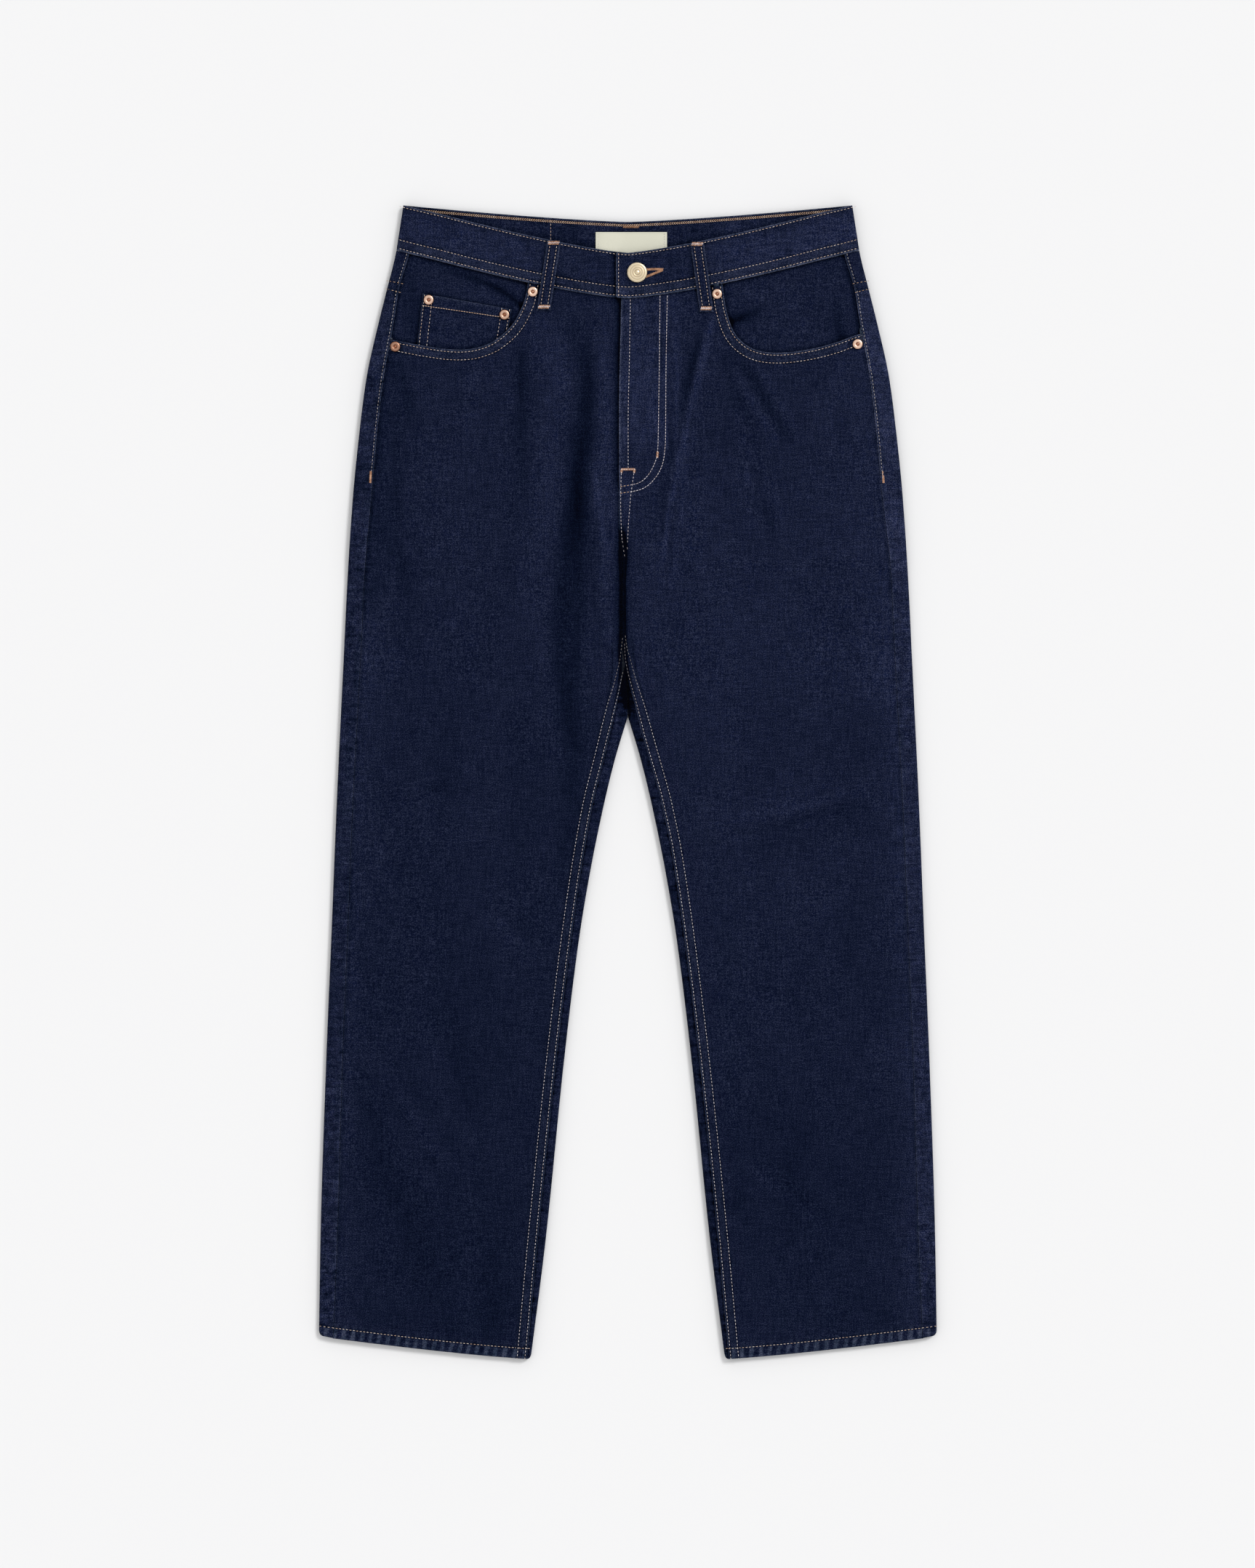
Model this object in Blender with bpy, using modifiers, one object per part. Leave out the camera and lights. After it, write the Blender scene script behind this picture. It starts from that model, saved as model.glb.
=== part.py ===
# Relaxed fit jeans with five pockets, laid flat on their back with the waist towards +Y.
# Lengths are in metres and +Z is up. Right and left are the wearer's: right is at -X.
# "Height" is measured along the cloth's length, up from the lowest point of the hems.
# "Across" is measured from the centre line, which is x = 0.
import math
from collections import namedtuple

import bmesh
import bpy
import numpy as np

LENGTH = 1.0303  # waist corner above the lowest point of the hems
CLOTH = 0.0012  # one layer of denim
THIN_CLOTH = 0.0010  # facing, coin pocket and label
SEAM_GAP = 0.0003
CENTRE_GAP = SEAM_GAP / 2
HEM_DEPTH = 0.0098
HEM_CLOTH = 0.0020  # the turned-up hem, which is more than one layer

# Outline of one side, from the hem to the waist corner.
Side = namedtuple("Side", "height fold seam")
SIDES = [
    Side(0.000, 0.2763, 0.2640),
    Side(0.109, 0.2746, 0.2594),
    Side(0.267, 0.2695, 0.2548),
    Side(0.375, 0.2650, 0.2504),
    Side(0.499, 0.2600, 0.2454),
    Side(0.628, 0.2538, 0.2385),
    Side(0.694, 0.2506, 0.2354),
    Side(0.772, 0.2454, 0.2300),
    Side(0.824, 0.2402, 0.2256),
    Side(0.876, 0.2335, 0.2195),
    Side(0.928, 0.2220, 0.2101),
    Side(0.954, 0.2155, 0.2061),
    Side(0.990, 0.2067, 0.1963),
    Side(LENGTH, 0.2005, 0.1900),
]

# Inner side of one leg: the inseam's edge on the front, and the fold beside it.
InnerLeg = namedtuple("InnerLeg", "height inseam fold")
INNER_LEG = [
    InnerLeg(0.000, 0.0900, 0.0868),
    InnerLeg(0.109, 0.0800, 0.0731),
    InnerLeg(0.267, 0.0637, 0.0569),
    InnerLeg(0.375, 0.0505, 0.0436),
    InnerLeg(0.438, 0.0414, 0.0331),
    InnerLeg(0.499, 0.0304, 0.0205),
    InnerLeg(0.536, 0.0212, 0.0114),
    InnerLeg(0.576, 0.0117, -0.0006),
    InnerLeg(0.628, 0.0010, -0.0160),
]
CROTCH_HEIGHT = INNER_LEG[-1].height

# The front rise: the fly's edge at the top, then the seam down to the crotch.
Rise = namedtuple("Rise", "height across")
FRONT_RISE = [
    Rise(0.628, 0.0000),
    Rise(0.694, 0.0000),
    Rise(0.722, -0.0030),
    Rise(0.746, -0.0075),
    Rise(0.766, -0.0081),
    Rise(0.844, -0.0081),
    Rise(0.943, -0.0062),
]
FLY_FOOT = 0.790  # the fly is closed by a seam below this height
FLY_UNDERLAP = 0.010

# Soft folds of the front: a ridge stands up and a trough (negative depth) goes down.
Fold = namedtuple("Fold", "x1 height1 x2 height2 width depth")
FOLDS = [
    Fold(-0.0427, 0.930, -0.0427, 0.790, 0.013, -0.0010),
    Fold(-0.0427, 0.790, -0.0584, 0.670, 0.016, -0.0012),
    Fold(-0.0584, 0.670, -0.0482, 0.535, 0.014, -0.0009),
    Fold(-0.0160, 0.860, -0.0190, 0.700, 0.011, 0.0007),
    Fold(-0.0950, 0.850, -0.0960, 0.760, 0.014, -0.0006),
    Fold(-0.2040, 0.870, -0.2160, 0.760, 0.010, -0.0007),
    Fold(0.0620, 0.915, 0.0400, 0.760, 0.012, 0.0007),
    Fold(0.0960, 0.880, 0.1200, 0.760, 0.013, -0.0006),
    Fold(0.0820, 0.468, 0.2120, 0.500, 0.012, 0.0007),
    Fold(-0.2450, 0.240, -0.1920, 0.080, 0.020, -0.0006),
]

# The pocket mouths: the front's cut edge from the waistband round to the side seam.
Mouth = namedtuple("Mouth", "x height")
RIGHT_MOUTH = [
    Mouth(-0.0885, 0.9700),
    Mouth(-0.0900, 0.9560),
    Mouth(-0.0945, 0.9395),
    Mouth(-0.1060, 0.9205),
    Mouth(-0.1270, 0.9055),
    Mouth(-0.1570, 0.9014),
    Mouth(-0.2120, 0.9100),
    Mouth(-0.2300, 0.9135),
]
LEFT_MOUTH = [
    Mouth(0.0835, 0.9700),
    Mouth(0.0850, 0.9560),
    Mouth(0.0885, 0.9345),
    Mouth(0.0965, 0.9145),
    Mouth(0.1120, 0.9020),
    Mouth(0.1345, 0.8990),
    Mouth(0.2105, 0.9126),
    Mouth(0.2300, 0.9165),
]
FACING_BOTTOM = 0.884
FACING_INNER = 0.077
FACING_LAP = 0.003  # how far the facing goes under the back at the side seam

# Corners of the coin pocket, which runs on under the front below the mouth.
COIN_CORNERS = [(-0.1832, 0.9516), (-0.1037, 0.9374), (-0.1110, 0.8935), (-0.1895, 0.8935)]
COIN_RECESS = THIN_CLOTH + SEAM_GAP  # how far the facing sinks to make room for it

# Levels of the layers above the surface that the jeans lie on.
LEG_LOFT = 0.0058
HIP_LOFT = 0.0054
HIP_LIFT = CLOTH + SEAM_GAP  # the hips lie on the back pockets and belt loops
FOLD_RADIUS = 0.0030
UNDER_RADIUS = 0.0024
VALLEY_DEPTH = 0.0013
VALLEY_WIDTH = 0.018

WAISTBAND = 0.0022  # two layers
WAISTBAND_HEIGHT = 0.0405
WAIST_BACK_LEVEL = HIP_LIFT  # underside of the back of the waistband
WAIST_FRONT_LEVEL = 0.0075  # upper side of the front of the waistband
WAIST_FOLD = (WAIST_FRONT_LEVEL - WAIST_BACK_LEVEL) / 2
WAIST_OVERLAP_X = -0.0107
WAIST_UNDERLAP_X = 0.0240
WAIST_STEP = WAISTBAND + SEAM_GAP

LOOP_WIDTH = 0.0122
LOOP_ARCH = 0.0009
BACK_LOOP_X = 0.135
BACK_LOOP_LENGTH = 0.060

BACK_POCKET_CENTRE = (0.1090, 0.8150)
BACK_POCKET_TILT = math.radians(8)
BACK_POCKET_OUTLINE = [(-0.074, 0.073), (-0.064, -0.062), (0.0, -0.083), (0.064, -0.062), (0.074, 0.073)]

BUTTON_PLACE = (0.0083, 0.9698)
BUTTON_RADIUS = 0.0090
RIVET_RADIUS = 0.0046

LABEL = {"left": -0.0287, "right": 0.0350, "bottom": 0.9815, "top": 1.0062}


def smooth_curve(places, values, at):
    """Monotone cubic curve through a table's points."""
    places, values = np.asarray(places, float), np.asarray(values, float)
    steps = np.diff(places)
    slopes = np.diff(values) / steps
    before, after = slopes[:-1], slopes[1:]
    product, total = before * after, before + after
    inner = np.where(product > 0, 2 * product / np.where(product > 0, total, 1), 0)
    tangents = np.concatenate([[slopes[0]], inner, [slopes[-1]]])
    at = np.clip(at, places[0], places[-1])
    i = np.clip(np.searchsorted(places, at, side="right") - 1, 0, len(steps) - 1)
    t = (at - places[i]) / steps[i]
    rest = 1 - t
    start = (1 + 2 * t) * rest**2 * values[i] + t * rest**2 * steps[i] * tangents[i]
    end = t**2 * (3 - 2 * t) * values[i + 1] - t**2 * rest * steps[i] * tangents[i + 1]
    return start + end


def column(table, name):
    return [getattr(row, name) for row in table]


def ease(low, high, value):
    """0 below low, 1 above high and smooth between them."""
    t = np.clip((value - low) / (high - low), 0, 1)
    return t * t * (3 - 2 * t)


def side_fold(height):
    return smooth_curve(column(SIDES, "height"), column(SIDES, "fold"), height)


def side_seam(height):
    return smooth_curve(column(SIDES, "height"), column(SIDES, "seam"), height)


def inner_fold(height):
    found = smooth_curve(column(INNER_LEG, "height"), column(INNER_LEG, "fold"), height)
    return np.maximum(found, CENTRE_GAP)


def inseam(height):
    found = smooth_curve(column(INNER_LEG, "height"), column(INNER_LEG, "inseam"), height)
    return np.maximum(found, CENTRE_GAP)


def front_rise(height):
    return smooth_curve(column(FRONT_RISE, "height"), column(FRONT_RISE, "across"), height)


def hem_line(across):
    """The hem climbs by 20 mm from the inner fold of the leg to its outer fold."""
    share = np.clip((np.abs(across) - 0.0868) / (0.2763 - 0.0868), 0, 1)
    return 0.0202 * share**1.25


def front_waist_bottom(across):
    return 0.9461 + 0.0439 * (np.abs(across) / 0.2067) ** 1.33


def front_waist_top(across):
    return 0.9867 + 0.0436 * (np.abs(across) / 0.2005) ** 1.25


def back_waist_top(across):
    return 1.0155 + 0.0148 * (np.abs(across) / 0.2005) ** 1.3


def back_waist_bottom(across):
    return 0.9750 + 0.0150 * (np.abs(across) / 0.2067) ** 1.3


def yoke_line(across):
    return 0.895 + 0.060 * (np.abs(across) / 0.215) ** 1.3


def fold_relief(x, height):
    """Sum of the soft folds of the front."""
    relief = np.zeros(np.broadcast(x, height).shape)
    for fold in FOLDS:
        along_x, along_h = fold.x2 - fold.x1, fold.height2 - fold.height1
        length2 = along_x**2 + along_h**2
        t = ((x - fold.x1) * along_x + (height - fold.height1) * along_h) / length2
        near = np.clip(t, 0, 1)
        off2 = (x - fold.x1 - near * along_x) ** 2 + (height - fold.height1 - near * along_h) ** 2
        relief = relief + fold.depth * np.exp(-off2 / fold.width**2)
    return relief


def base_level(x, height):
    """Underside of the back: on the floor at the legs, on the pockets and loops at the hips."""
    lift = HIP_LIFT * ease(0.690, 0.722, height)
    return lift + 0.0005 * ease(0.020, 0.004, back_waist_bottom(x) - height) + 0 * x


def crown_level(x, height):
    """Upper side of the front, without the rounding at its folded edges."""
    loft = LEG_LOFT + (HIP_LOFT - LEG_LOFT) * ease(0.690, 0.722, height)
    valley_share = ease(0.800, 0.700, height) * ease(0.500, 0.580, height)
    from_valley = np.clip(np.abs(x - front_rise(height)) / VALLEY_WIDTH, 0, 1)
    valley = VALLEY_DEPTH * valley_share * (1 - from_valley) ** 2 * (1 + 2 * from_valley)
    hip_lift = HIP_LIFT * ease(0.690, 0.722, height)
    return hip_lift + loft - valley + fold_relief(x, height)


def rounding(share):
    """How far a quarter round has dropped at this share of its radius from its edge."""
    share = np.clip(share, 0, 1)
    return 1 - np.sqrt(1 - (1 - share) ** 2)


def edge_share(x, height, radius):
    across = np.abs(x)
    outer = rounding((side_fold(height) - across) / radius)
    meets = ease(0.640, 0.627, height)
    inner = rounding((across - inner_fold(height)) / radius) * meets
    return np.maximum(outer, inner)


def top_surface(x, height):
    crown = crown_level(x, height)
    half = (crown - base_level(x, height)) / 2
    return crown - half * edge_share(x, height, FOLD_RADIUS)


def under_surface(x, height):
    base = base_level(x, height)
    half = (crown_level(x, height) - base) / 2
    return base + half * edge_share(x, height, UNDER_RADIUS)


def fly_step(x, height):
    """The left front lies over the right one at the fly, and so stands one layer higher."""
    return (CLOTH + SEAM_GAP) * ease(0.054, 0.036, x) * ease(0.764, 0.786, height)


def waist_level(x):
    """Upper side of the waistband's left front, which laps over its right front."""
    return WAIST_FRONT_LEVEL + WAIST_STEP * ease(0.056, 0.032, x)


def row_height(share, lower, upper, across):
    return lower(across) + share * (upper(across) - lower(across))


def meet(share, lower, upper, edge):
    """Distance from the centre at which a row of the cloth crosses an edge."""
    across = float(edge(0.5))
    for _ in range(12):
        across = float(edge(row_height(share, lower, upper, across)))
    return across


def spaced(points, shares):
    """The path again, with a point at each share of its length."""
    steps = np.linalg.norm(np.diff(points, axis=0), axis=1)
    along = np.concatenate([[0], np.cumsum(steps)])
    at = np.asarray(shares) * along[-1]
    return np.stack([np.interp(at, along, points[:, k]) for k in range(3)], axis=1)


def path_points(x, share, lower, upper, surface):
    """Points of one row of cloth at these x, as x, height and level."""
    x = np.asarray(x, float)
    height = row_height(share, lower, upper, np.abs(x))
    return np.stack([x, height, surface(x, height)], axis=1)


def placed(point):
    """From x, height and level to the frame, whose origin is below the middle of the jeans."""
    return (point[0], point[1] - LENGTH / 2, point[2])


def eased_run(start, end, count, at_start=True):
    """Numbers from start to end that crowd together at one of them, for a round edge."""
    angles = np.linspace(0, math.pi / 2, count)
    shares = 1 - np.cos(angles) if at_start else np.sin(angles)
    return start + (end - start) * shares


def make_material(name, colour, roughness, metallic):
    material = bpy.data.materials.new(name)
    material.use_nodes = True
    shader = material.node_tree.nodes["Principled BSDF"]
    shader.inputs["Base Color"].default_value = (*colour, 1)
    shader.inputs["Roughness"].default_value = roughness
    shader.inputs["Metallic"].default_value = metallic
    return material


def add_object(name, mesh, material, collection):
    obj = bpy.data.objects.new(name, mesh)
    mesh.materials.append(material)
    collection.objects.link(obj)
    return obj


def sheet_mesh(name, rows, faces_up=True):
    """A mesh from rows of points. A row that is shorter than the next ends the cloth there."""
    mesh = bpy.data.meshes.new(name)
    bm = bmesh.new()
    verts = [[bm.verts.new(placed(point)) for point in row] for row in rows]
    for lower, upper in zip(verts, verts[1:]):
        for i in range(min(len(lower), len(upper)) - 1):
            corners = [lower[i], lower[i + 1], upper[i + 1], upper[i]]
            bm.faces.new(corners if faces_up else corners[::-1])
    bm.to_mesh(mesh)
    bm.free()
    return mesh


def add_wall(obj, thickness, group=None):
    """Gives a sheet its thickness, on the side away from its faces."""
    wall = obj.modifiers.new("wall", "SOLIDIFY")
    wall.thickness = thickness
    wall.offset = -1
    wall.use_even_offset = True
    if group:
        wall.vertex_group = group
        wall.invert_vertex_group = False
    return wall


def thicken_hem(obj, row_lengths):
    """The turned-up hem: the first two rows of points get the full thickness."""
    group = obj.vertex_groups.new(name="hem")
    hem_points = sum(row_lengths[:2])
    total = sum(row_lengths)
    group.add(list(range(hem_points)), 1.0, "REPLACE")
    group.add(list(range(hem_points, total)), CLOTH / HEM_CLOTH, "REPLACE")
    add_wall(obj, HEM_CLOTH, "hem")


FRONT_ROWS = [
    0.0, HEM_DEPTH, HEM_DEPTH + 0.0012, 0.055, 0.115, 0.180, 0.245, 0.310, 0.370, 0.420, 0.460, 0.495,
    0.525, 0.550, 0.570, 0.588, 0.605, 0.618, CROTCH_HEIGHT, 0.634, 0.642, 0.662, 0.690, 0.715, 0.740,
    0.764, 0.775, 0.786, FLY_FOOT, 0.796, 0.815, 0.840, 0.865, 0.890, 0.915, 0.932,
]
FRONT_SHARES = [0, 0.03, 0.09, 0.2, 0.34, 0.48, 0.6, 0.7, 0.79, 0.86, 0.91, 0.945, 0.97, 0.985, 1]


def front_upper(across):
    return front_waist_bottom(across) - SEAM_GAP


def front_rows(side):
    """Rows of the front's upper side, from the side seam to the inseam or the front rise."""
    rows = []
    top = float(front_upper(0.0))
    for height in [*FRONT_ROWS, top]:
        share = height / top
        seam = meet(share, hem_line, front_upper, side_seam) - CENTRE_GAP
        if height <= CROTCH_HEIGHT:
            inner = side * (meet(share, hem_line, front_upper, inseam) + CENTRE_GAP)
        else:
            inner = front_inner_edge(side, height)
        x = eased_run(side * seam, inner, 60, at_start=False)
        points = path_points(x, share, hem_line, front_upper, top_surface)
        if side > 0:
            points[:, 2] += fly_step(points[:, 0], points[:, 1])
        rows.append(spaced(points, FRONT_SHARES))
    return rows


def front_inner_edge(side, height):
    """The front's edge at the centre: the right front runs on under the fly."""
    edge = float(front_rise(height)) + side * CENTRE_GAP
    if height < 0.640:
        return side * float(np.interp(height, [CROTCH_HEIGHT, 0.640], [INNER_LEG[-1].inseam, CENTRE_GAP]))
    if side > 0:
        return edge
    return edge + (FLY_UNDERLAP + CENTRE_GAP) * float(ease(FLY_FOOT, FLY_FOOT + 0.006, height))


def mouth_cutter(name, mouth, material, collection):
    """A block whose one side is the pocket mouth. It cuts the corner off the front."""
    ends = np.array([[row.x, row.height] for row in mouth])
    curve = through_points(ends, 6)
    outside = ends[-1][0] * 1.2
    outline = [*curve, (outside, ends[-1][1]), (outside, LENGTH + 0.02), (ends[0][0], LENGTH + 0.02)]
    cutter = plate(name, outline, -0.010, 0.030, material, collection)
    cutter.hide_render = True
    cutter.display_type = "WIRE"
    return cutter


def through_points(points, per_span):
    """A smooth line through points, by centripetal-free Catmull-Rom spans."""
    padded = np.vstack([2 * points[0] - points[1], points, 2 * points[-1] - points[-2]])
    line = []
    for i in range(len(points) - 1):
        a, b, c, d = padded[i:i + 4]
        for t in np.arange(per_span) / per_span:
            line.append(0.5 * (2 * b + (c - a) * t + (2 * a - 5 * b + 4 * c - d) * t**2
                               + (3 * b - a - 3 * c + d) * t**3))
    return [tuple(p) for p in [*line, points[-1]]]


def plate(name, outline, low, high, material, collection):
    """A flat plate with this outline, given as x and height."""
    mesh = bpy.data.meshes.new(name)
    bm = bmesh.new()
    verts = [bm.verts.new(placed((x, height, low))) for x, height in outline]
    face = bm.faces.new(verts)
    raised = bmesh.ops.extrude_face_region(bm, geom=[face])
    top = [item for item in raised["geom"] if isinstance(item, bmesh.types.BMVert)]
    bmesh.ops.translate(bm, verts=top, vec=(0, 0, high - low))
    bmesh.ops.recalc_face_normals(bm, faces=bm.faces)
    bm.to_mesh(mesh)
    bm.free()
    return add_object(name, mesh, material, collection)


def add_front(name, side, mouth, material, parts, cutters):
    rows = front_rows(side)
    obj = add_object(name, sheet_mesh(name, rows, faces_up=side < 0), material, parts)
    thicken_hem(obj, [len(row) for row in rows])
    cut = obj.modifiers.new("pocket mouth", "BOOLEAN")
    cut.operation = "DIFFERENCE"
    cut.solver = "EXACT"
    cut.object = mouth_cutter(name + "_mouth", mouth, material, cutters)
    return obj


BACK_ROWS = [
    0.0, HEM_DEPTH, HEM_DEPTH + 0.0012, 0.070, 0.150, 0.230, 0.310, 0.375, 0.430, 0.475, 0.515, 0.545,
    0.568, 0.590, 0.612, CROTCH_HEIGHT, 0.632, 0.660, 0.690, 0.706, 0.722, 0.745, 0.770, 0.795, 0.820,
    0.845, 0.870,
]
FOLD_COLUMNS = 8
UNDER_COLUMNS = 8
INNER_COLUMNS = 8


def back_upper(across):
    return yoke_line(across) - CENTRE_GAP


def wrap_points(side, share, lower, upper):
    """One row of a back piece from the side seam round the fold and under to near the centre."""
    seam = meet(share, lower, upper, side_seam) + CENTRE_GAP
    fold = meet(share, lower, upper, side_fold)
    over = path_points(side * eased_run(seam, fold, 40, at_start=False), share, lower, upper, top_surface)
    under = path_points(
        side * eased_run(fold, fold - UNDER_RADIUS, 20), share, lower, upper, under_surface
    )
    return spaced(np.vstack([over, under[1:]]), np.linspace(0, 1, FOLD_COLUMNS + 1))


def back_rows(side):
    """Rows of a back: over the side fold, along the underside and, on the leg, up to the inseam."""
    rows = []
    top = float(back_upper(0.0))
    for height in [*BACK_ROWS, top]:
        share = height / top
        wrapped = wrap_points(side, share, hem_line, back_upper)
        on_leg = height <= CROTCH_HEIGHT
        inner = meet(share, hem_line, back_upper, inner_fold)
        under_end = inner + UNDER_RADIUS if on_leg else CENTRE_GAP
        x = np.linspace(wrapped[-1][0], side * under_end, UNDER_COLUMNS + 1)[1:]
        row = [*wrapped, *path_points(x, share, hem_line, back_upper, under_surface)]
        if on_leg:
            row += inner_wrap(side, share, inner)
        rows.append(row)
    return rows


def inner_wrap(side, share, inner):
    """The end of a back's row on the leg: round the inner fold and up to the inseam."""
    edge = meet(share, hem_line, back_upper, inseam) - CENTRE_GAP
    under = path_points(
        side * eased_run(inner + UNDER_RADIUS, inner, 20, at_start=False),
        share, hem_line, back_upper, under_surface,
    )
    over = path_points(side * eased_run(inner, edge, 30), share, hem_line, back_upper, top_surface)
    return list(spaced(np.vstack([under, over[1:]]), np.linspace(0, 1, INNER_COLUMNS + 1)))[1:]


def add_back(name, side, material, parts):
    rows = back_rows(side)
    obj = add_object(name, sheet_mesh(name, rows, faces_up=side > 0), material, parts)
    thicken_hem(obj, [len(row) for row in rows])
    return obj


def yoke_lower(across):
    return yoke_line(across) + CENTRE_GAP


def yoke_upper(x_and_side):
    """The yoke ends at the back of the waistband, and at its front where it wraps round."""
    return back_waist_bottom(x_and_side) - SEAM_GAP


def add_yoke(name, side, material, parts):
    """The V-shaped piece between the back and the waistband, wrapped round to the side seam."""
    rows = []
    for share in np.linspace(0, 1, 5):
        wrapped = wrap_points(side, share, yoke_lower, yoke_upper)
        x = np.linspace(wrapped[-1][0], side * CENTRE_GAP, UNDER_COLUMNS + 1)[1:]
        rows.append([*wrapped, *path_points(x, share, yoke_lower, yoke_upper, under_surface)])
    front_end(rows)
    obj = add_object(name, sheet_mesh(name, rows, faces_up=side > 0), material, parts)
    add_wall(obj, CLOTH)
    return obj


def front_end(rows):
    """Lowers the yoke's rows on the front, where the waistband's edge lies below its back edge."""
    turn = FOLD_COLUMNS
    lower_row = rows[0]
    for k, row in enumerate(rows[1:], start=1):
        share = k / (len(rows) - 1)
        for i in range(turn + 1):
            x = abs(row[i][0])
            on_front = 1 - i / turn
            spare = float(back_waist_bottom(x) - front_waist_bottom(x))
            lowered = row[i][1] - spare * share * min(1.0, 2 * on_front)
            row[i] = np.array([row[i][0], max(lowered, lower_row[i][1] + 0.004), row[i][2]])


def add_facing(name, side, material, parts):
    """The denim behind a pocket mouth. On the right it sinks to make room for the coin pocket."""
    rows = []
    for share in np.linspace(0, 1, 9):
        edge = meet(share, lambda a: FACING_BOTTOM + 0 * a, front_upper, side_seam) + FACING_LAP
        x = side * np.linspace(edge, FACING_INNER, 13)
        height = row_height(share, lambda a: FACING_BOTTOM + 0 * a, front_upper, np.abs(x))
        level = crown_level(x, height) - CLOTH - SEAM_GAP
        if side < 0:
            level = level - COIN_RECESS * coin_room(x, height)
        rows.append(np.stack([x, height, level], axis=1))
    obj = add_object(name, sheet_mesh(name, rows, faces_up=side < 0), material, parts)
    add_wall(obj, THIN_CLOTH)
    return obj


def coin_room(x, height):
    """1 under the coin pocket, and 0 beyond 20 mm from it."""
    left, right, top = COIN_CORNERS[3][0] - 0.011, COIN_CORNERS[1][0] + 0.011, COIN_CORNERS[0][1] + 0.011
    across = ease(left - 0.009, left, x) * ease(right + 0.009, right, x)
    return across * ease(top + 0.009, top, height)


def add_coin_pocket(material, parts):
    top_left, top_right, low_right, low_left = (np.array(p) for p in COIN_CORNERS)
    rows = []
    for v in np.linspace(0, 1, 5):
        start, end = low_left + (top_left - low_left) * v, low_right + (top_right - low_right) * v
        line = start + (end - start) * np.linspace(0, 1, 7)[:, None]
        level = crown_level(line[:, 0], line[:, 1]) - CLOTH - SEAM_GAP
        rows.append(np.column_stack([line, level]))
    obj = add_object("coin_pocket", sheet_mesh("coin_pocket", rows), material, parts)
    add_wall(obj, THIN_CLOTH)
    return obj


def waist_stations():
    """Stretches of the waistband's length: x, level, and its share of the way to the back."""
    arc = np.linspace(0, math.pi, 9)[1:-1]
    stations = []
    for share in np.linspace(0, 1, 15):
        stations.append(("right front", share))
    for angle in arc:
        stations.append(("right fold", angle))
    for share in np.linspace(0, 1, 19):
        stations.append(("back", share))
    for angle in arc:
        stations.append(("left fold", angle))
    for share in np.linspace(0, 1, 19):
        stations.append(("left front", share))
    return stations


def waist_point(stretch, share, up):
    """A point of the waistband's outer side. Up is 0 at its lower edge and 1 at its upper edge."""
    bottom_fold = float(side_fold(front_waist_bottom(0.2067)))
    fold = bottom_fold + (0.2005 - bottom_fold) * up
    turn = fold - WAIST_FOLD
    middle = (WAIST_FRONT_LEVEL + WAIST_BACK_LEVEL) / 2
    if stretch == "right front":
        x, level, back = WAIST_UNDERLAP_X + (-turn - WAIST_UNDERLAP_X) * share, WAIST_FRONT_LEVEL, 0.0
    elif stretch == "left front":
        x = turn + (WAIST_OVERLAP_X - turn) * share**0.9
        level, back = float(waist_level(x)), 0.0
    elif stretch == "back":
        x, level, back = -turn + 2 * turn * share, WAIST_BACK_LEVEL, 1.0
    else:
        out, rise = math.sin(share), math.cos(share)
        right = stretch == "right fold"
        x = (-1 if right else 1) * (turn + WAIST_FOLD * out)
        level = middle + (rise if right else -rise) * WAIST_FOLD
        back = float(ease(0, math.pi, share)) if right else 1 - float(ease(0, math.pi, share))
    low = front_waist_bottom(x) * (1 - back) + back_waist_bottom(x) * back
    high = front_waist_top(x) * (1 - back) + back_waist_top(x) * back
    return np.array([x, low + (high - low) * up, level])


def add_waistband(material, parts):
    rows = [[waist_point(stretch, share, up) for stretch, share in waist_stations()]
            for up in (0.0, 0.33, 0.67, 1.0)]
    obj = add_object("waistband", sheet_mesh("waistband", rows, faces_up=False), material, parts)
    add_wall(obj, WAISTBAND)
    return obj


def add_front_loop(name, top, bottom, material, parts):
    """A belt loop from the waistband's upper edge down past its lower edge, slightly arched."""
    rows = []
    for share in np.linspace(0, 1, 11):
        x = bottom[0] + (top[0] - bottom[0]) * share
        height = bottom[1] + (top[1] - bottom[1]) * share
        seam = float(front_waist_bottom(x))
        on_band = float(ease(seam - 0.004, seam - 0.001, height))
        under = float(crown_level(x, height)) * (1 - on_band) + WAIST_FRONT_LEVEL * on_band
        arch = LOOP_ARCH * math.sin(math.pi * share) ** 2
        level = under + SEAM_GAP + CLOTH + arch
        rows.append([(x - LOOP_WIDTH / 2, height, level), (x, height, level),
                     (x + LOOP_WIDTH / 2, height, level)])
    obj = add_object(name, sheet_mesh(name, rows), material, parts)
    add_wall(obj, CLOTH)
    return obj


def add_back_loop(name, x, material, parts):
    """A belt loop of the back, which lies between the waistband and the floor."""
    top = float(back_waist_top(x)) - 0.001
    outline = [(x - LOOP_WIDTH / 2, top - BACK_LOOP_LENGTH), (x + LOOP_WIDTH / 2, top - BACK_LOOP_LENGTH),
               (x + LOOP_WIDTH / 2, top), (x - LOOP_WIDTH / 2, top)]
    return plate(name, outline, 0.0, CLOTH, material, parts)


def add_back_pocket(name, side, material, parts):
    turned = []
    for a, b in BACK_POCKET_OUTLINE:
        x = BACK_POCKET_CENTRE[0] + a * math.cos(BACK_POCKET_TILT) - b * math.sin(BACK_POCKET_TILT)
        height = BACK_POCKET_CENTRE[1] + a * math.sin(BACK_POCKET_TILT) + b * math.cos(BACK_POCKET_TILT)
        turned.append((side * x, height))
    return plate(name, turned, 0.0, CLOTH, material, parts)


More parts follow.
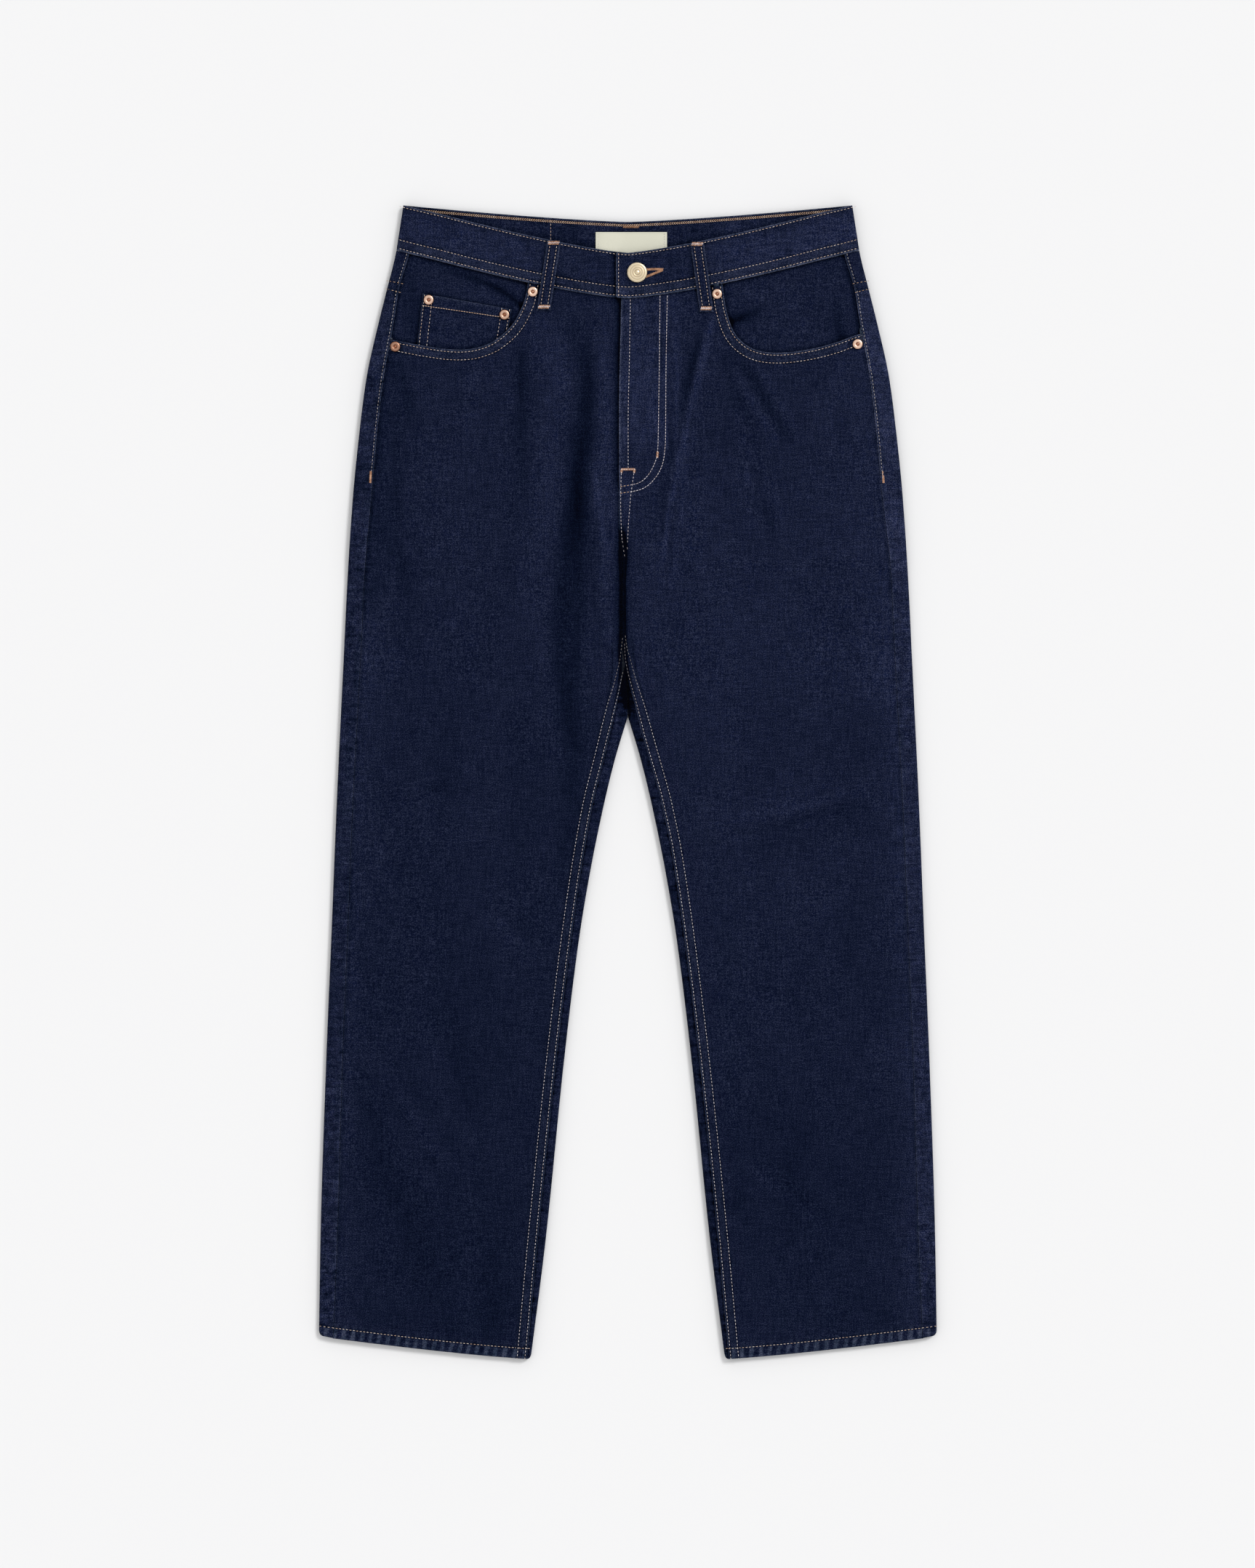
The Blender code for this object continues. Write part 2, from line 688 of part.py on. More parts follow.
def add_turned(name, place, level, profile, steps, material, parts):
    """A turned metal piece. Its profile runs from the axis at the top to the axis below."""
    mesh = bpy.data.meshes.new(name)
    bm = bmesh.new()
    verts = [bm.verts.new((radius, 0, z)) for radius, z in profile]
    for upper, lower in zip(verts, verts[1:]):
        bm.edges.new((upper, lower))
    bm.to_mesh(mesh)
    bm.free()
    obj = add_object(name, mesh, material, parts)
    obj.location = placed((place[0], place[1], level))
    turn = obj.modifiers.new("turn", "SCREW")
    turn.steps = steps
    turn.render_steps = steps
    turn.use_merge_vertices = True
    turn.merge_threshold = 0.00001
    turn.use_normal_calculate = False
    return obj


def add_rivets(material, parts):
    """Rivets at the ends of the pocket mouths and on the coin pocket."""
    profile = [
        (0, 0.0010), (0.0009, 0.0009), (0.0013, 0.0005), (0.0019, 0.0006), (0.0026, 0.0013),
        (0.0037, 0.0013), (RIVET_RADIUS, 0.0006), (RIVET_RADIUS, 0), (0, 0),
    ]
    lap = CLOTH + SEAM_GAP
    places = {
        "rivet_right_mouth_top": (-0.0849, 0.9530, 0),
        "rivet_right_mouth_side": (-0.2077, 0.9040, 0),
        "rivet_coin_outer": (-0.1779, 0.9458, lap),
        "rivet_coin_inner": (-0.1102, 0.9326, lap),
        "rivet_left_mouth_top": (0.0797, 0.9510, 0),
        "rivet_left_mouth_side": (0.2052, 0.9062, 0),
    }
    for name, (x, height, sunk) in places.items():
        around = [(x + RIVET_RADIUS * math.cos(a), height + RIVET_RADIUS * math.sin(a))
                  for a in np.linspace(0, 2 * math.pi, 17)]
        highest = max(float(top_surface(px, ph)) for px, ph in [(x, height), *around])
        add_turned(name, (x, height), highest - sunk + SEAM_GAP, profile, 20, material, parts)


def add_button(material, parts):
    """The tack button: a short shank under a domed cap with raised rings."""
    cap = BUTTON_RADIUS
    profile = [
        (0, 0.0032), (0.0016, 0.0031), (0.0022, 0.0026), (0.0033, 0.0026), (0.0040, 0.0031),
        (0.0062, 0.0030), (0.0068, 0.0027), (cap - 0.0011, 0.0027), (cap - 0.0003, 0.0023),
        (cap, 0.0017), (cap - 0.0005, 0.0011), (0.0036, 0.0009), (0.0032, 0.0000), (0, 0),
    ]
    level = float(waist_level(BUTTON_PLACE[0])) + SEAM_GAP
    add_turned("button", BUTTON_PLACE, level, profile, 32, material, parts)


def add_label(material, parts):
    """The blank woven label inside the back of the waistband."""
    low = WAIST_BACK_LEVEL + WAISTBAND + SEAM_GAP
    outline = [(LABEL["left"], LABEL["bottom"]), (LABEL["right"], LABEL["bottom"]),
               (LABEL["right"], LABEL["top"]), (LABEL["left"], LABEL["top"])]
    return plate("label", outline, low, low + THIN_CLOTH, material, parts)


def smooth_shading():
    for obj in bpy.data.objects:
        if obj.type == "MESH":
            obj.data.shade_smooth()
            obj.data.set_sharp_from_angle(angle=math.radians(40))


def main():
    for obj in list(bpy.data.objects):
        bpy.data.objects.remove(obj, do_unlink=True)
    parts = bpy.data.collections.new("relaxed_fit_jeans")
    cutters = bpy.data.collections.new("cutters")
    bpy.context.scene.collection.children.link(parts)
    bpy.context.scene.collection.children.link(cutters)

    denim = make_material("denim", (0.010, 0.014, 0.052), 0.85, 0.0)
    brass = make_material("button metal", (0.62, 0.52, 0.36), 0.38, 1.0)
    copper = make_material("rivet metal", (0.75, 0.40, 0.26), 0.35, 1.0)
    cream = make_material("label cloth", (0.80, 0.79, 0.68), 0.80, 0.0)

    add_front("front_right", -1, RIGHT_MOUTH, denim, parts, cutters)
    add_front("front_left", 1, LEFT_MOUTH, denim, parts, cutters)
    for name, side in (("right", -1), ("left", 1)):
        add_back("back_" + name, side, denim, parts)
        add_yoke("yoke_" + name, side, denim, parts)
        add_facing("pocket_facing_" + name, side, denim, parts)
        add_back_pocket("back_pocket_" + name, side, denim, parts)
        add_back_loop("belt_loop_back_" + name, side * BACK_LOOP_X, denim, parts)
    add_coin_pocket(denim, parts)
    add_waistband(denim, parts)
    add_front_loop("belt_loop_front_right", (-0.0660, 0.9972), (-0.0751, 0.9375), denim, parts)
    add_front_loop("belt_loop_front_left", (0.0618, 0.9962), (0.0702, 0.9362), denim, parts)
    add_back_loop("belt_loop_back_centre", 0.0, denim, parts)
    add_button(brass, parts)
    add_rivets(copper, parts)
    add_label(cream, parts)
    smooth_shading()


main()
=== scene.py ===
import math

import bpy
import numpy as np
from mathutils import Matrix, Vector


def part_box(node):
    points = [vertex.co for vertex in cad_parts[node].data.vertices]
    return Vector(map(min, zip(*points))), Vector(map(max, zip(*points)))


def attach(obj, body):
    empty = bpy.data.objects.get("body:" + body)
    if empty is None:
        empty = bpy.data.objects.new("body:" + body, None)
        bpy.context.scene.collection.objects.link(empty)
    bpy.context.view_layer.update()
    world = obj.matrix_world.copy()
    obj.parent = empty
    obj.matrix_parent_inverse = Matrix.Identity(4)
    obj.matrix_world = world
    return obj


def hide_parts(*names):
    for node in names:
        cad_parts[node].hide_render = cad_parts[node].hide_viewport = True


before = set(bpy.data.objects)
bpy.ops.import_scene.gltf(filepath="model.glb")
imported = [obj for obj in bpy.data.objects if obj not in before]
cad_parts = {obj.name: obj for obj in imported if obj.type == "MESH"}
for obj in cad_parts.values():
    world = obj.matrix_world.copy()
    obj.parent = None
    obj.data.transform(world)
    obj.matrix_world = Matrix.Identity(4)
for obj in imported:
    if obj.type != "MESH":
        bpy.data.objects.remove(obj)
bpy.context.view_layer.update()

print("frame loaded:", len(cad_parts), "nodes")

# Right and left are the wearer's. "h" is the height along the cloth above the lowest point of the
# hems, and x is measured from the centre line. All lengths are in metres.
jeans = {
    "length": 1.0303,
    "gap": 0.0003,
    "cloth": 0.0012,
    "thinCloth": 0.0010,
    "band": 0.0022,
    "bandHeight": 0.0405,
    "crotchHeight": 0.628,
    "flyFoot": 0.790,
    "flyUnderlap": 0.010,
    # height, half width at the outer fold, distance of the side seam from the centre
    "sides": [
        (0.000, 0.2763, 0.2640), (0.109, 0.2746, 0.2594), (0.267, 0.2695, 0.2548), (0.375, 0.2650, 0.2504),
        (0.499, 0.2600, 0.2454), (0.628, 0.2538, 0.2385), (0.694, 0.2506, 0.2354), (0.772, 0.2454, 0.2300),
        (0.824, 0.2402, 0.2256), (0.876, 0.2335, 0.2195), (0.928, 0.2220, 0.2101), (0.954, 0.2155, 0.2061),
        (0.990, 0.2067, 0.1963), (1.0303, 0.2005, 0.1900),
    ],
    # height, distance of the inseam's edge, distance of the inner fold
    "innerLeg": [
        (0.000, 0.0900, 0.0868), (0.109, 0.0800, 0.0731), (0.267, 0.0637, 0.0569), (0.375, 0.0505, 0.0436),
        (0.438, 0.0414, 0.0331), (0.499, 0.0304, 0.0205), (0.536, 0.0212, 0.0114), (0.576, 0.0117, -0.0006),
        (0.628, 0.0010, -0.0160),
    ],
    # height, x of the seam or the fly's edge in the middle of the front
    "frontRise": [
        (0.628, 0.0000), (0.694, 0.0000), (0.722, -0.0030), (0.746, -0.0075), (0.766, -0.0081),
        (0.844, -0.0081), (0.943, -0.0062),
    ],
    "rightMouth": [
        (-0.0885, 0.9700), (-0.0900, 0.9560), (-0.0945, 0.9395), (-0.1060, 0.9205), (-0.1270, 0.9055),
        (-0.1570, 0.9014), (-0.2120, 0.9100), (-0.2300, 0.9135),
    ],
    "leftMouth": [
        (0.0835, 0.9700), (0.0850, 0.9560), (0.0885, 0.9345), (0.0965, 0.9145), (0.1120, 0.9020),
        (0.1345, 0.8985), (0.1667, 0.9026), (0.2057, 0.9138), (0.2300, 0.9215),
    ],
    "coinCorners": [(-0.1832, 0.9516), (-0.1037, 0.9374), (-0.1110, 0.8935), (-0.1895, 0.8935)],
}

levels = {
    "legLoft": 0.0058, "hipLoft": 0.0054, "hipLift": 0.0015,
    "foldRadius": 0.0030, "underRadius": 0.0024,
    "valleyDepth": 0.0013, "valleyWidth": 0.018,
    "bandBack": 0.0015, "bandFront": 0.0075, "bandStep": 0.0025,
    "overlapX": -0.0107, "underlapX": 0.0240,
}


def inMetres(rows, depthScale=1):
    # strokes are written in millimetres: the points' x and height with a share of the depth, then the
    # width and the depth
    return [([(x / 1000, h / 1000, *share) for x, h, *share in path], width / 1000, depth / depthScale)
            for path, width, depth in rows]


# soft folds of the front, where a trough has a negative depth
softFolds = inMetres([
    ([(-42.7, 930), (-43, 790), (-58, 670), (-48.2, 545)], 15, -1.2),
    ([(-16, 870), (-19, 690)], 11, 0.7),
    ([(-95, 860), (-96, 750)], 14, -0.6),
    ([(-204, 870), (-216, 760)], 10, -0.7),
    ([(62, 915), (40, 750)], 12, 0.7),
    ([(96, 880), (120, 760)], 13, -0.6),
    ([(82, 468), (212, 500)], 12, 0.7),
    ([(-245, 240), (-192, 80)], 20, -0.6),
], 1000)

# smaller creases, too fine for the solids
fineCreases = inMetres([
    ([(-30, 905), (-28, 800), (-23, 690), (-15, 640)], 6, 0.5),
    ([(-100, 895), (-96, 770)], 6, -0.5),
    ([(-134, 905), (-148, 830)], 7, 0.3),
    ([(-215, 850), (-206, 700)], 6, -0.5),
    ([(-184, 690), (-164, 700)], 4, -0.4),
    ([(-180, 570), (-160, 578)], 3, -0.5),
    ([(-200, 735), (-188, 720)], 4, -0.3),
    ([(68, 905), (47, 790), (38, 690)], 5, 0.6),
    ([(54, 894), (50, 830)], 6, -0.7),
    ([(24, 800), (30, 740)], 5, -0.3),
    ([(102.4, 881), (132.9, 826)], 6, -0.6),
    ([(108.9, 792), (126.4, 744)], 5, -0.5),
    ([(116, 880), (145, 830)], 5, 0.4),
    ([(200, 890), (183, 850)], 5, -0.3),
    ([(100, 467), (148, 476), (199, 492)], 5.5, -0.7),
    ([(98, 476), (196, 501)], 5, 0.6),
    ([(150, 410), (195, 425)], 6, -0.3),
    ([(-170, 480), (-130, 470)], 6, -0.3),
    ([(-120, 400), (-85, 370)], 7, -0.4),
    ([(105, 330), (145, 318)], 6, -0.3),
    ([(-220, 250), (-165, 170)], 8, 0.5),
    ([(120, 170), (170, 130)], 9, -0.4),
    ([(190, 640), (220, 600)], 6, -0.3),
], 1000)

# painted shade (negative) and painted highlight along the folds, where the folds look darker or paler
foldShadeStrokes = inMetres([
    ([(-60, 935, 0.1), (-50, 918, 0.5), (-40, 888, 0.6), (-39, 855, 0.7), (-44, 810, 0.9), (-46.5, 780, 1),
      (-50, 750, 0.9), (-55, 720, 0.8), (-59, 690, 0.75), (-61, 655, 0.75), (-59.5, 620, 0.8),
      (-55, 585, 0.7), (-50, 540, 0.5), (-50, 500, 0.4), (-56, 430, 0.1)], 10.5, -0.76),
    ([(-90, 935, 0.3), (-72, 905, 1), (-60, 880, 0.6), (-68, 830, 0.5), (-72, 780, 0.6), (-86, 745, 0.4),
      (-86, 700, 0)], 18, 0.3),
    ([(-42, 785, 0.3), (-41, 755, 1), (-42, 720, 1), (-43, 670, 1), (-46, 630, 0.9), (-48, 600, 0.4)], 6.5,
      -0.34),
    ([(-30, 818, 0.2), (-30, 797, 1), (-30, 765, 0.6), (-31, 740, 0.1)], 4, 0.45),
    ([(-24, 935, 0.6), (-21, 895, 0.9), (-19, 855, 1), (-17, 820, 0.9), (-15, 785, 0.8), (-14, 750, 0.2)],
      7, 0.36),
    ([(-20, 900, 0), (-24, 840, 1), (-23, 760, 0.6), (-18, 690, 0)], 7, 0.22),
    ([(-28.5, 815, 0.2), (-27.2, 770, 1), (-20, 725, 0.6), (-18, 700, 0)], 3, 0.6),
    ([(-72, 880, 0.2), (-74, 800, 1), (-76, 720, 1), (-78, 640, 0.3)], 11, 0.16),
    ([(-94, 925, 0.2), (-96.5, 880, 1), (-99, 810, 1), (-103, 750, 0.6), (-106, 690, 0.1)], 8.5, -0.34),
    ([(-106, 620, 0), (-99, 550, 0.8), (-96, 470, 0.8), (-96, 400, 0)], 10, -0.16),
    ([(-206, 890, 0.3), (-196, 855, 1), (-184, 820, 0.2)], 6, -0.3),
    ([(-221, 850, 0.3), (-218, 780, 0.8), (-212, 725, 1), (-198, 690, 0.6), (-190, 640, 0.1)], 10, -0.28),
    ([(-160, 640, 0.3), (-164, 520, 0.8), (-168, 500, 0.2)], 14, -0.12),
    ([(-185, 506, 0), (-165, 512, 1), (-148, 508, 0.2)], 4.5, -0.26),
    ([(-130, 520, 0.2), (-140, 470, 1), (-130, 430, 0.2)], 20, 0.12),
    ([(79, 937, 0.2), (72, 916, 0.7), (58.1, 861, 1), (47, 805, 1), (35.8, 750, 0.8), (30.3, 700, 0.3),
      (30, 670, 0)], 3, 0.95),
    ([(70, 940, 0.3), (62, 900, 1), (50, 862, 0.9), (39, 800, 0.5), (29, 740, 0.2)], 5.5, -0.42),
    ([(43, 935, 0.2), (44, 870, 1), (43, 800, 0.8), (38, 780, 0)], 2.4, 0.35),
    ([(38, 930, 0.3), (39.5, 870, 1), (38.5, 810, 0.6)], 2.4, -0.25),
    ([(64, 880, 0.2), (60, 820, 1), (52, 760, 0.6)], 6, -0.16),
    ([(93, 900, 0.4), (108, 880, 1), (126, 852, 0.9), (142, 822, 0.2)], 7, -0.2),
    ([(87, 893, 0.6), (91.8, 872, 1), (100, 853, 1), (110, 833, 0.5), (116, 815, 0.1)], 6.2, -0.26),
    ([(100, 880, 0.2), (110, 860, 1), (128, 820, 0.6)], 6, 0.1),
    ([(108, 785, 0.1), (116, 762, 1), (127, 737, 0.8), (130, 715, 0)], 5, -0.34),
    ([(123, 790, 0.3), (134, 765, 1), (139, 735, 0.1)], 6, 0.2),
    ([(160, 880, 0.2), (176, 840, 1), (170, 790, 0.2)], 16, 0.12),
    ([(198, 920, 0.9), (202, 840, 0.8), (208, 780, 0.4), (215, 690, 1), (220, 600, 0.9)], 15, 0.17),
    ([(-5.2, 752, 0.1), (-4.6, 740, 0.8), (-4.2, 729, 1), (-4.2, 716, 1), (-4.4, 700, 0.2)], 4, -0.96),
    ([(0.2, 784, 0.5), (-0.8, 768, 1), (-2.2, 750, 0.9), (-3, 740, 0.2)], 3.6, 0.42),
    ([(-248, 270, 0.1), (-238, 220, 0.9), (-223, 180, 0.8), (-205, 130, 0.9), (-183, 80, 1),
      (-175, 30, 0.5)], 18, -0.1),
    ([(-214, 160, 0.6), (-185, 110, 1), (-175, 50, 0.6)], 30, -0.07),
    ([(-218, 225, 0.6), (-198, 190, 1), (-178, 170, 0.6)], 15, 0.16),
    ([(-172, 330, 0.1), (-156, 280, 1), (-142, 240, 0.9), (-135, 200, 0)], 13, -0.18),
    ([(-183, 300, 0.1), (-170, 270, 1), (-162, 235, 0.1)], 8, 0.2),
    ([(-118, 100, 0.2), (-118, 50, 1), (-121, 20, 0.6)], 11, -0.2),
    ([(100, 448, 0), (125, 459, 1), (156, 472, 0.9), (202, 486, 0.5), (220, 495, 0)], 15, -0.15),
    ([(70, 476, 0.1), (110, 490, 0.9), (150, 499, 1), (210, 510, 0.3)], 15, 0.17),
    ([(190, 330, 0.1), (200, 380, 1), (203, 440, 0.3)], 8, -0.18),
    ([(85, 640, 0.4), (90, 560, 1), (80, 500, 0.5)], 25, 0.08),
    ([(115, 400, 0.3), (150, 420, 1), (180, 410, 0.3)], 30, 0.07),
    ([(155, 220, 0.3), (148, 150, 1), (142, 100, 0.5)], 14, -0.15),
    ([(90, 150, 0.1), (98, 143, 1), (106, 140, 0.1)], 9, -0.24),
    ([(150, 260, 0.4), (170, 60, 1)], 50, -0.07),
])

# painted shade in the valley between the legs, which shows on the backs' edges too
valleyShadeStrokes = inMetres([
    ([(-4.3, 735, 0.2), (-4.4, 720, 1), (-4.4, 700, 1), (-4.3, 640, 1), (-3.1, 610, 1), (-1.8, 582, 1)],
      2.6, -0.97),
    ([(-4.3, 650, 0.1), (-3.5, 628, 0.8), (-2.6, 605, 1), (-1.8, 582, 1)], 6, -0.7),
    ([(-5, 765, 0.2), (-4.3, 720, 1), (-4.3, 630, 1), (-1, 590, 0.6)], 8, -0.32),
    ([(-4.6, 742, 0.1), (-5, 728, 1), (-5, 640, 1), (-3, 615, 0.3)], 5.2, -0.45),
])
foldShadeStrokes += valleyShadeStrokes

facingCreases = inMetres([
    ([(-145, 967), (-119, 957.5), (-100, 945), (-95, 938)], 4.2, -0.6),
    ([(98, 928), (120, 935)], 5, -0.6),
    ([(185, 950), (195, 915)], 7, -0.5),
    ([(135, 950), (150, 925)], 8, 0.4),
], 1000)
# painted shade (negative) and painted highlight along the facings' folds
facingShadeStrokes = inMetres([
    ([(-160, 971, 0), (-145.3, 967.2, 0.4), (-131.6, 962.8, 0.7), (-119, 957.5, 1), (-108.5, 951.2, 1),
      (-100.1, 944.9, 0.9), (-94.9, 940.7, 0.8)], 3.4, -0.85),
    ([(-195, 980, 0.4), (-160, 974, 1), (-130, 964, 0.2)], 7, -0.25),
    ([(-150, 956, 0.3), (-130, 950, 1), (-120, 946, 0.3)], 5, 0.12),
    ([(98, 943, 0.2), (115, 948, 1), (135, 952, 0.3)], 6, 0.16),
    ([(140, 936, 0.2), (160, 933, 1), (175, 930, 0.2)], 7, -0.16),
    ([(88, 924.5, 1), (100, 929.5, 1), (115, 935, 0.6), (123, 937, 0)], 4.8, -0.82),
    ([(183, 948, 0.1), (187, 930, 0.8), (190, 914, 1)], 6, -0.52),
    ([(179, 946, 0.2), (181, 930, 1), (183, 916, 0.8)], 3.4, 0.16),
    ([(145, 945), (155, 925)], 12, 0.14),
    ([(-195, 960), (-190, 915)], 6, -0.3),
])

# how far the front panels lean across the middle at the crotch: height, shift
leanRight = [
    (0.600, 0), (0.615, -0.0012), (0.628, -0.0040), (0.640, -0.0049), (0.694, -0.0049), (0.722, -0.0020),
    (0.746, -0.0007), (0.766, 0),
]
leanLeft = [
    (0.460, 0), (0.486, -0.0014), (0.525, -0.0025), (0.564, -0.0039), (0.584, -0.0041), (0.600, -0.0049),
    (0.612, -0.0058), (0.628, -0.0052), *leanRight[3:],
]


def ease(low, high, value):
    t = np.clip((value - low) / (high - low), 0, 1)
    return t * t * (3 - 2 * t)


def curveThrough(rows, column, at):
    # monotone cubic through a table's points, so that an edge never overshoots
    places = np.array([row[0] for row in rows])
    values = np.array([row[column] for row in rows])
    steps = np.diff(places)
    slopes = np.diff(values) / steps
    before, after = slopes[:-1], slopes[1:]
    product, total = before * after, before + after
    inner = np.where(product > 0, 2 * product / np.where(product > 0, total, 1), 0)
    tangents = np.concatenate([[slopes[0]], inner, [slopes[-1]]])
    at = np.clip(at, places[0], places[-1])
    i = np.clip(np.searchsorted(places, at, side="right") - 1, 0, len(steps) - 1)
    t = (at - places[i]) / steps[i]
    rest = 1 - t
    start = (1 + 2 * t) * rest**2 * values[i] + t * rest**2 * steps[i] * tangents[i]
    end = t**2 * (3 - 2 * t) * values[i + 1] - t**2 * rest * steps[i] * tangents[i + 1]
    return start + end


def sideFold(h):
    return curveThrough(jeans["sides"], 1, h)


def sideSeam(h):
    return curveThrough(jeans["sides"], 2, h)


def inseamEdge(h):
    return np.maximum(curveThrough(jeans["innerLeg"], 1, h), jeans["gap"] / 2)


def innerFold(h):
    return np.maximum(curveThrough(jeans["innerLeg"], 2, h), 0.00002)


def frontRise(h):
    return curveThrough(jeans["frontRise"], 1, h)


def hemLine(across):
    return 0.0202 * np.clip((np.abs(across) - 0.0868) / 0.1895, 0, 1) ** 1.25


def bandFrontBottom(across):
    across = np.abs(across)
    return 0.9461 + 0.0439 * (across / 0.2067) ** 1.33 + 0.0008 * ease(0.205, 0.165, across)


def bandFrontTop(across):
    across = np.abs(across)
    return 0.9867 + 0.0436 * (across / 0.2005) ** 1.25 + 0.0009 * ease(0.200, 0.165, across)


def bandBackTop(across):
    return 1.0155 + 0.0148 * (np.abs(across) / 0.2005) ** 1.3


def bandBackBottom(across):
    return 0.9750 + 0.0150 * (np.abs(across) / 0.2067) ** 1.3


def yokeLine(across):
    return 0.895 + 0.060 * (np.abs(across) / 0.215) ** 1.3


def nearestOn(path, x, h):
    # the distance to a path, and the third number of its nearest point
    best = np.full(np.broadcast(x, h).shape, 1e9)
    share = np.ones(best.shape)
    for (x1, h1, *first), (x2, h2, *last) in zip(path[:-1], path[1:]):
        dx, dh = x2 - x1, h2 - h1
        near = np.clip(((x - x1) * dx + (h - h1) * dh) / (dx * dx + dh * dh), 0, 1)
        away = (x - x1 - near * dx) ** 2 + (h - h1 - near * dh) ** 2
        if first:
            share = np.where(away < best, first[0] + near * (last[0] - first[0]), share)
        best = np.minimum(best, away)
    return np.sqrt(best), share


def distanceTo(path, x, h):
    return nearestOn(path, x, h)[0]


def strokes(table, x, h):
    total = 0.0
    for path, width, depth in table:
        distance, share = nearestOn(path, x, h)
        total = total + depth * share * np.exp(-((distance / width) ** 2))
    return total


def leanOf(side, x, h):
    table = leanRight if side < 0 else leanLeft
    return np.interp(h, [row[0] for row in table], [row[1] for row in table]) * np.exp(-((x / 0.045) ** 2))


def seamPull(x, h):
    # how far the side seam shows inwards of its place in the pattern, more of it on the left
    return np.where(np.asarray(x) > 0, 0.0035, 0.0016) * ease(0.700, 0.790, h)


def drawnIn(x, h):
    across = np.abs(x)
    seam = sideSeam(h)
    near = ease(sideFold(h), seam + 0.0030, across) * ease(seam - 0.0300, seam - 0.0030, across)
    return np.sign(x) * (across - seamPull(x, h) * near)


lattice = np.random.RandomState(17).rand(256, 256) * 2 - 1


def cloudNoise(x, y, layer=0):
    # soft noise from -1 to 1, one lump per unit
    x, y = np.asarray(x) + 31.7 * layer + 500, np.asarray(y) + 17.3 * layer + 500
    ix, iy = np.floor(x).astype(int), np.floor(y).astype(int)
    fx, fy = x - ix, y - iy
    fx, fy = fx * fx * (3 - 2 * fx), fy * fy * (3 - 2 * fy)
    a, b = lattice[ix % 256, iy % 256], lattice[(ix + 1) % 256, iy % 256]
    c, d = lattice[ix % 256, (iy + 1) % 256], lattice[(ix + 1) % 256, (iy + 1) % 256]
    return (a + (b - a) * fx) * (1 - fy) + (c + (d - c) * fx) * fy


def frontRelief(x, h):
    # the folds, the finer creases and a gentle unevenness, less of it under the waistband
    calm = 1 - 0.6 * ease(0.880, 0.930, h)
    uneven = 0.00030 * cloudNoise(x / 0.045, h / 0.080) + 0.00012 * cloudNoise(x / 0.018, h / 0.030, 1)
    return strokes(softFolds, x, h) + (strokes(fineCreases, x, h) + uneven) * calm


def baseLevel(x, h):
    lift = levels["hipLift"] * ease(0.690, 0.722, h)
    return lift + 0.0005 * ease(0.020, 0.004, bandBackBottom(x) - h)


def crownLevel(x, h):
    loft = levels["legLoft"] + (levels["hipLoft"] - levels["legLoft"]) * ease(0.690, 0.722, h)
    valleyShare = ease(0.800, 0.700, h) * ease(0.500, 0.580, h)
    away = np.clip(np.abs(x - frontRise(h)) / levels["valleyWidth"], 0, 1)
    valley = levels["valleyDepth"] * valleyShare * (1 - away) ** 2 * (1 + 2 * away)
    return levels["hipLift"] * ease(0.690, 0.722, h) + loft - valley + frontRelief(x, h)


def rounding(share):
    share = np.clip(share, 0, 1)
    return 1 - np.sqrt(1 - (1 - share) ** 2)


def edgeShare(x, h, radius):
    across = np.abs(x)
    outer = rounding((sideFold(h) - across) / radius)
    inner = rounding((across - innerFold(h)) / radius) * ease(0.640, 0.627, h)
    return np.maximum(outer, inner)


def topSurface(x, h):
    crown = crownLevel(x, h)
    return crown - (crown - baseLevel(x, h)) / 2 * edgeShare(x, h, levels["foldRadius"])


def underSurface(x, h):
    base = baseLevel(x, h)
    return base + (crownLevel(x, h) - base) / 2 * edgeShare(x, h, levels["underRadius"])


def flyStep(x, h):
    return (jeans["cloth"] + jeans["gap"]) * ease(0.054, 0.036, x) * ease(0.764, 0.786, h)


def throughPoints(points, perSpan):
    points = np.array(points)
    padded = np.vstack([2 * points[0] - points[1], points, 2 * points[-1] - points[-2]])
    t = (np.arange(perSpan) / perSpan)[:, None]
    line = [0.5 * (2 * b + (c - a) * t + (2 * a - 5 * b + 4 * c - d) * t**2 + (3 * b - a - 3 * c + d) * t**3)
            for a, b, c, d in zip(padded, padded[1:], padded[2:], padded[3:])]
    return np.vstack([*line, points[-1:]])


def evenly(path, step):
    gone = np.concatenate([[0], np.cumsum(np.linalg.norm(np.diff(path, axis=0), axis=1))])
    at = np.linspace(0, gone[-1], max(2, int(round(gone[-1] / step)) + 1))
    return np.stack([np.interp(at, gone, path[:, k]) for k in range(path.shape[1])], axis=1)


def beside(path, distance):
    # the path moved to its left by this distance, in the plane of x and h
    along = np.gradient(path[:, :2], axis=0)
    along /= np.linalg.norm(along, axis=1)[:, None]
    return path[:, :2] + distance * np.stack([-along[:, 1], along[:, 0]], axis=1)


mouths = {-1: evenly(throughPoints(jeans["rightMouth"], 12), 0.004),
          1: evenly(throughPoints(jeans["leftMouth"], 12), 0.004)}

seamForm = {"stitchGroove": 0.00022, "grooveWidth": 0.0009, "edgeDrop": 0.0006, "edgeRound": 0.0012}


def groove(distance, centre):
    return -seamForm["stitchGroove"] * bump(distance - centre, seamForm["grooveWidth"])


def plateau(distance, far, height, soft=0.0014):
    return height * (1 - ease(far, far + soft, distance))


def rolledEdge(distance):
    return -seamForm["edgeDrop"] * rounding(distance / seamForm["edgeRound"])


def rowTone(distance, centre, depth=-0.45, width=0.0010):
    # the shade of the furrow that a row of stitches sits in
    return depth * bump(distance - centre, width)


def bump(distance, width):
    # 1 at a line, falling off softly on both sides of it
    return np.exp(-((distance / width) ** 2))


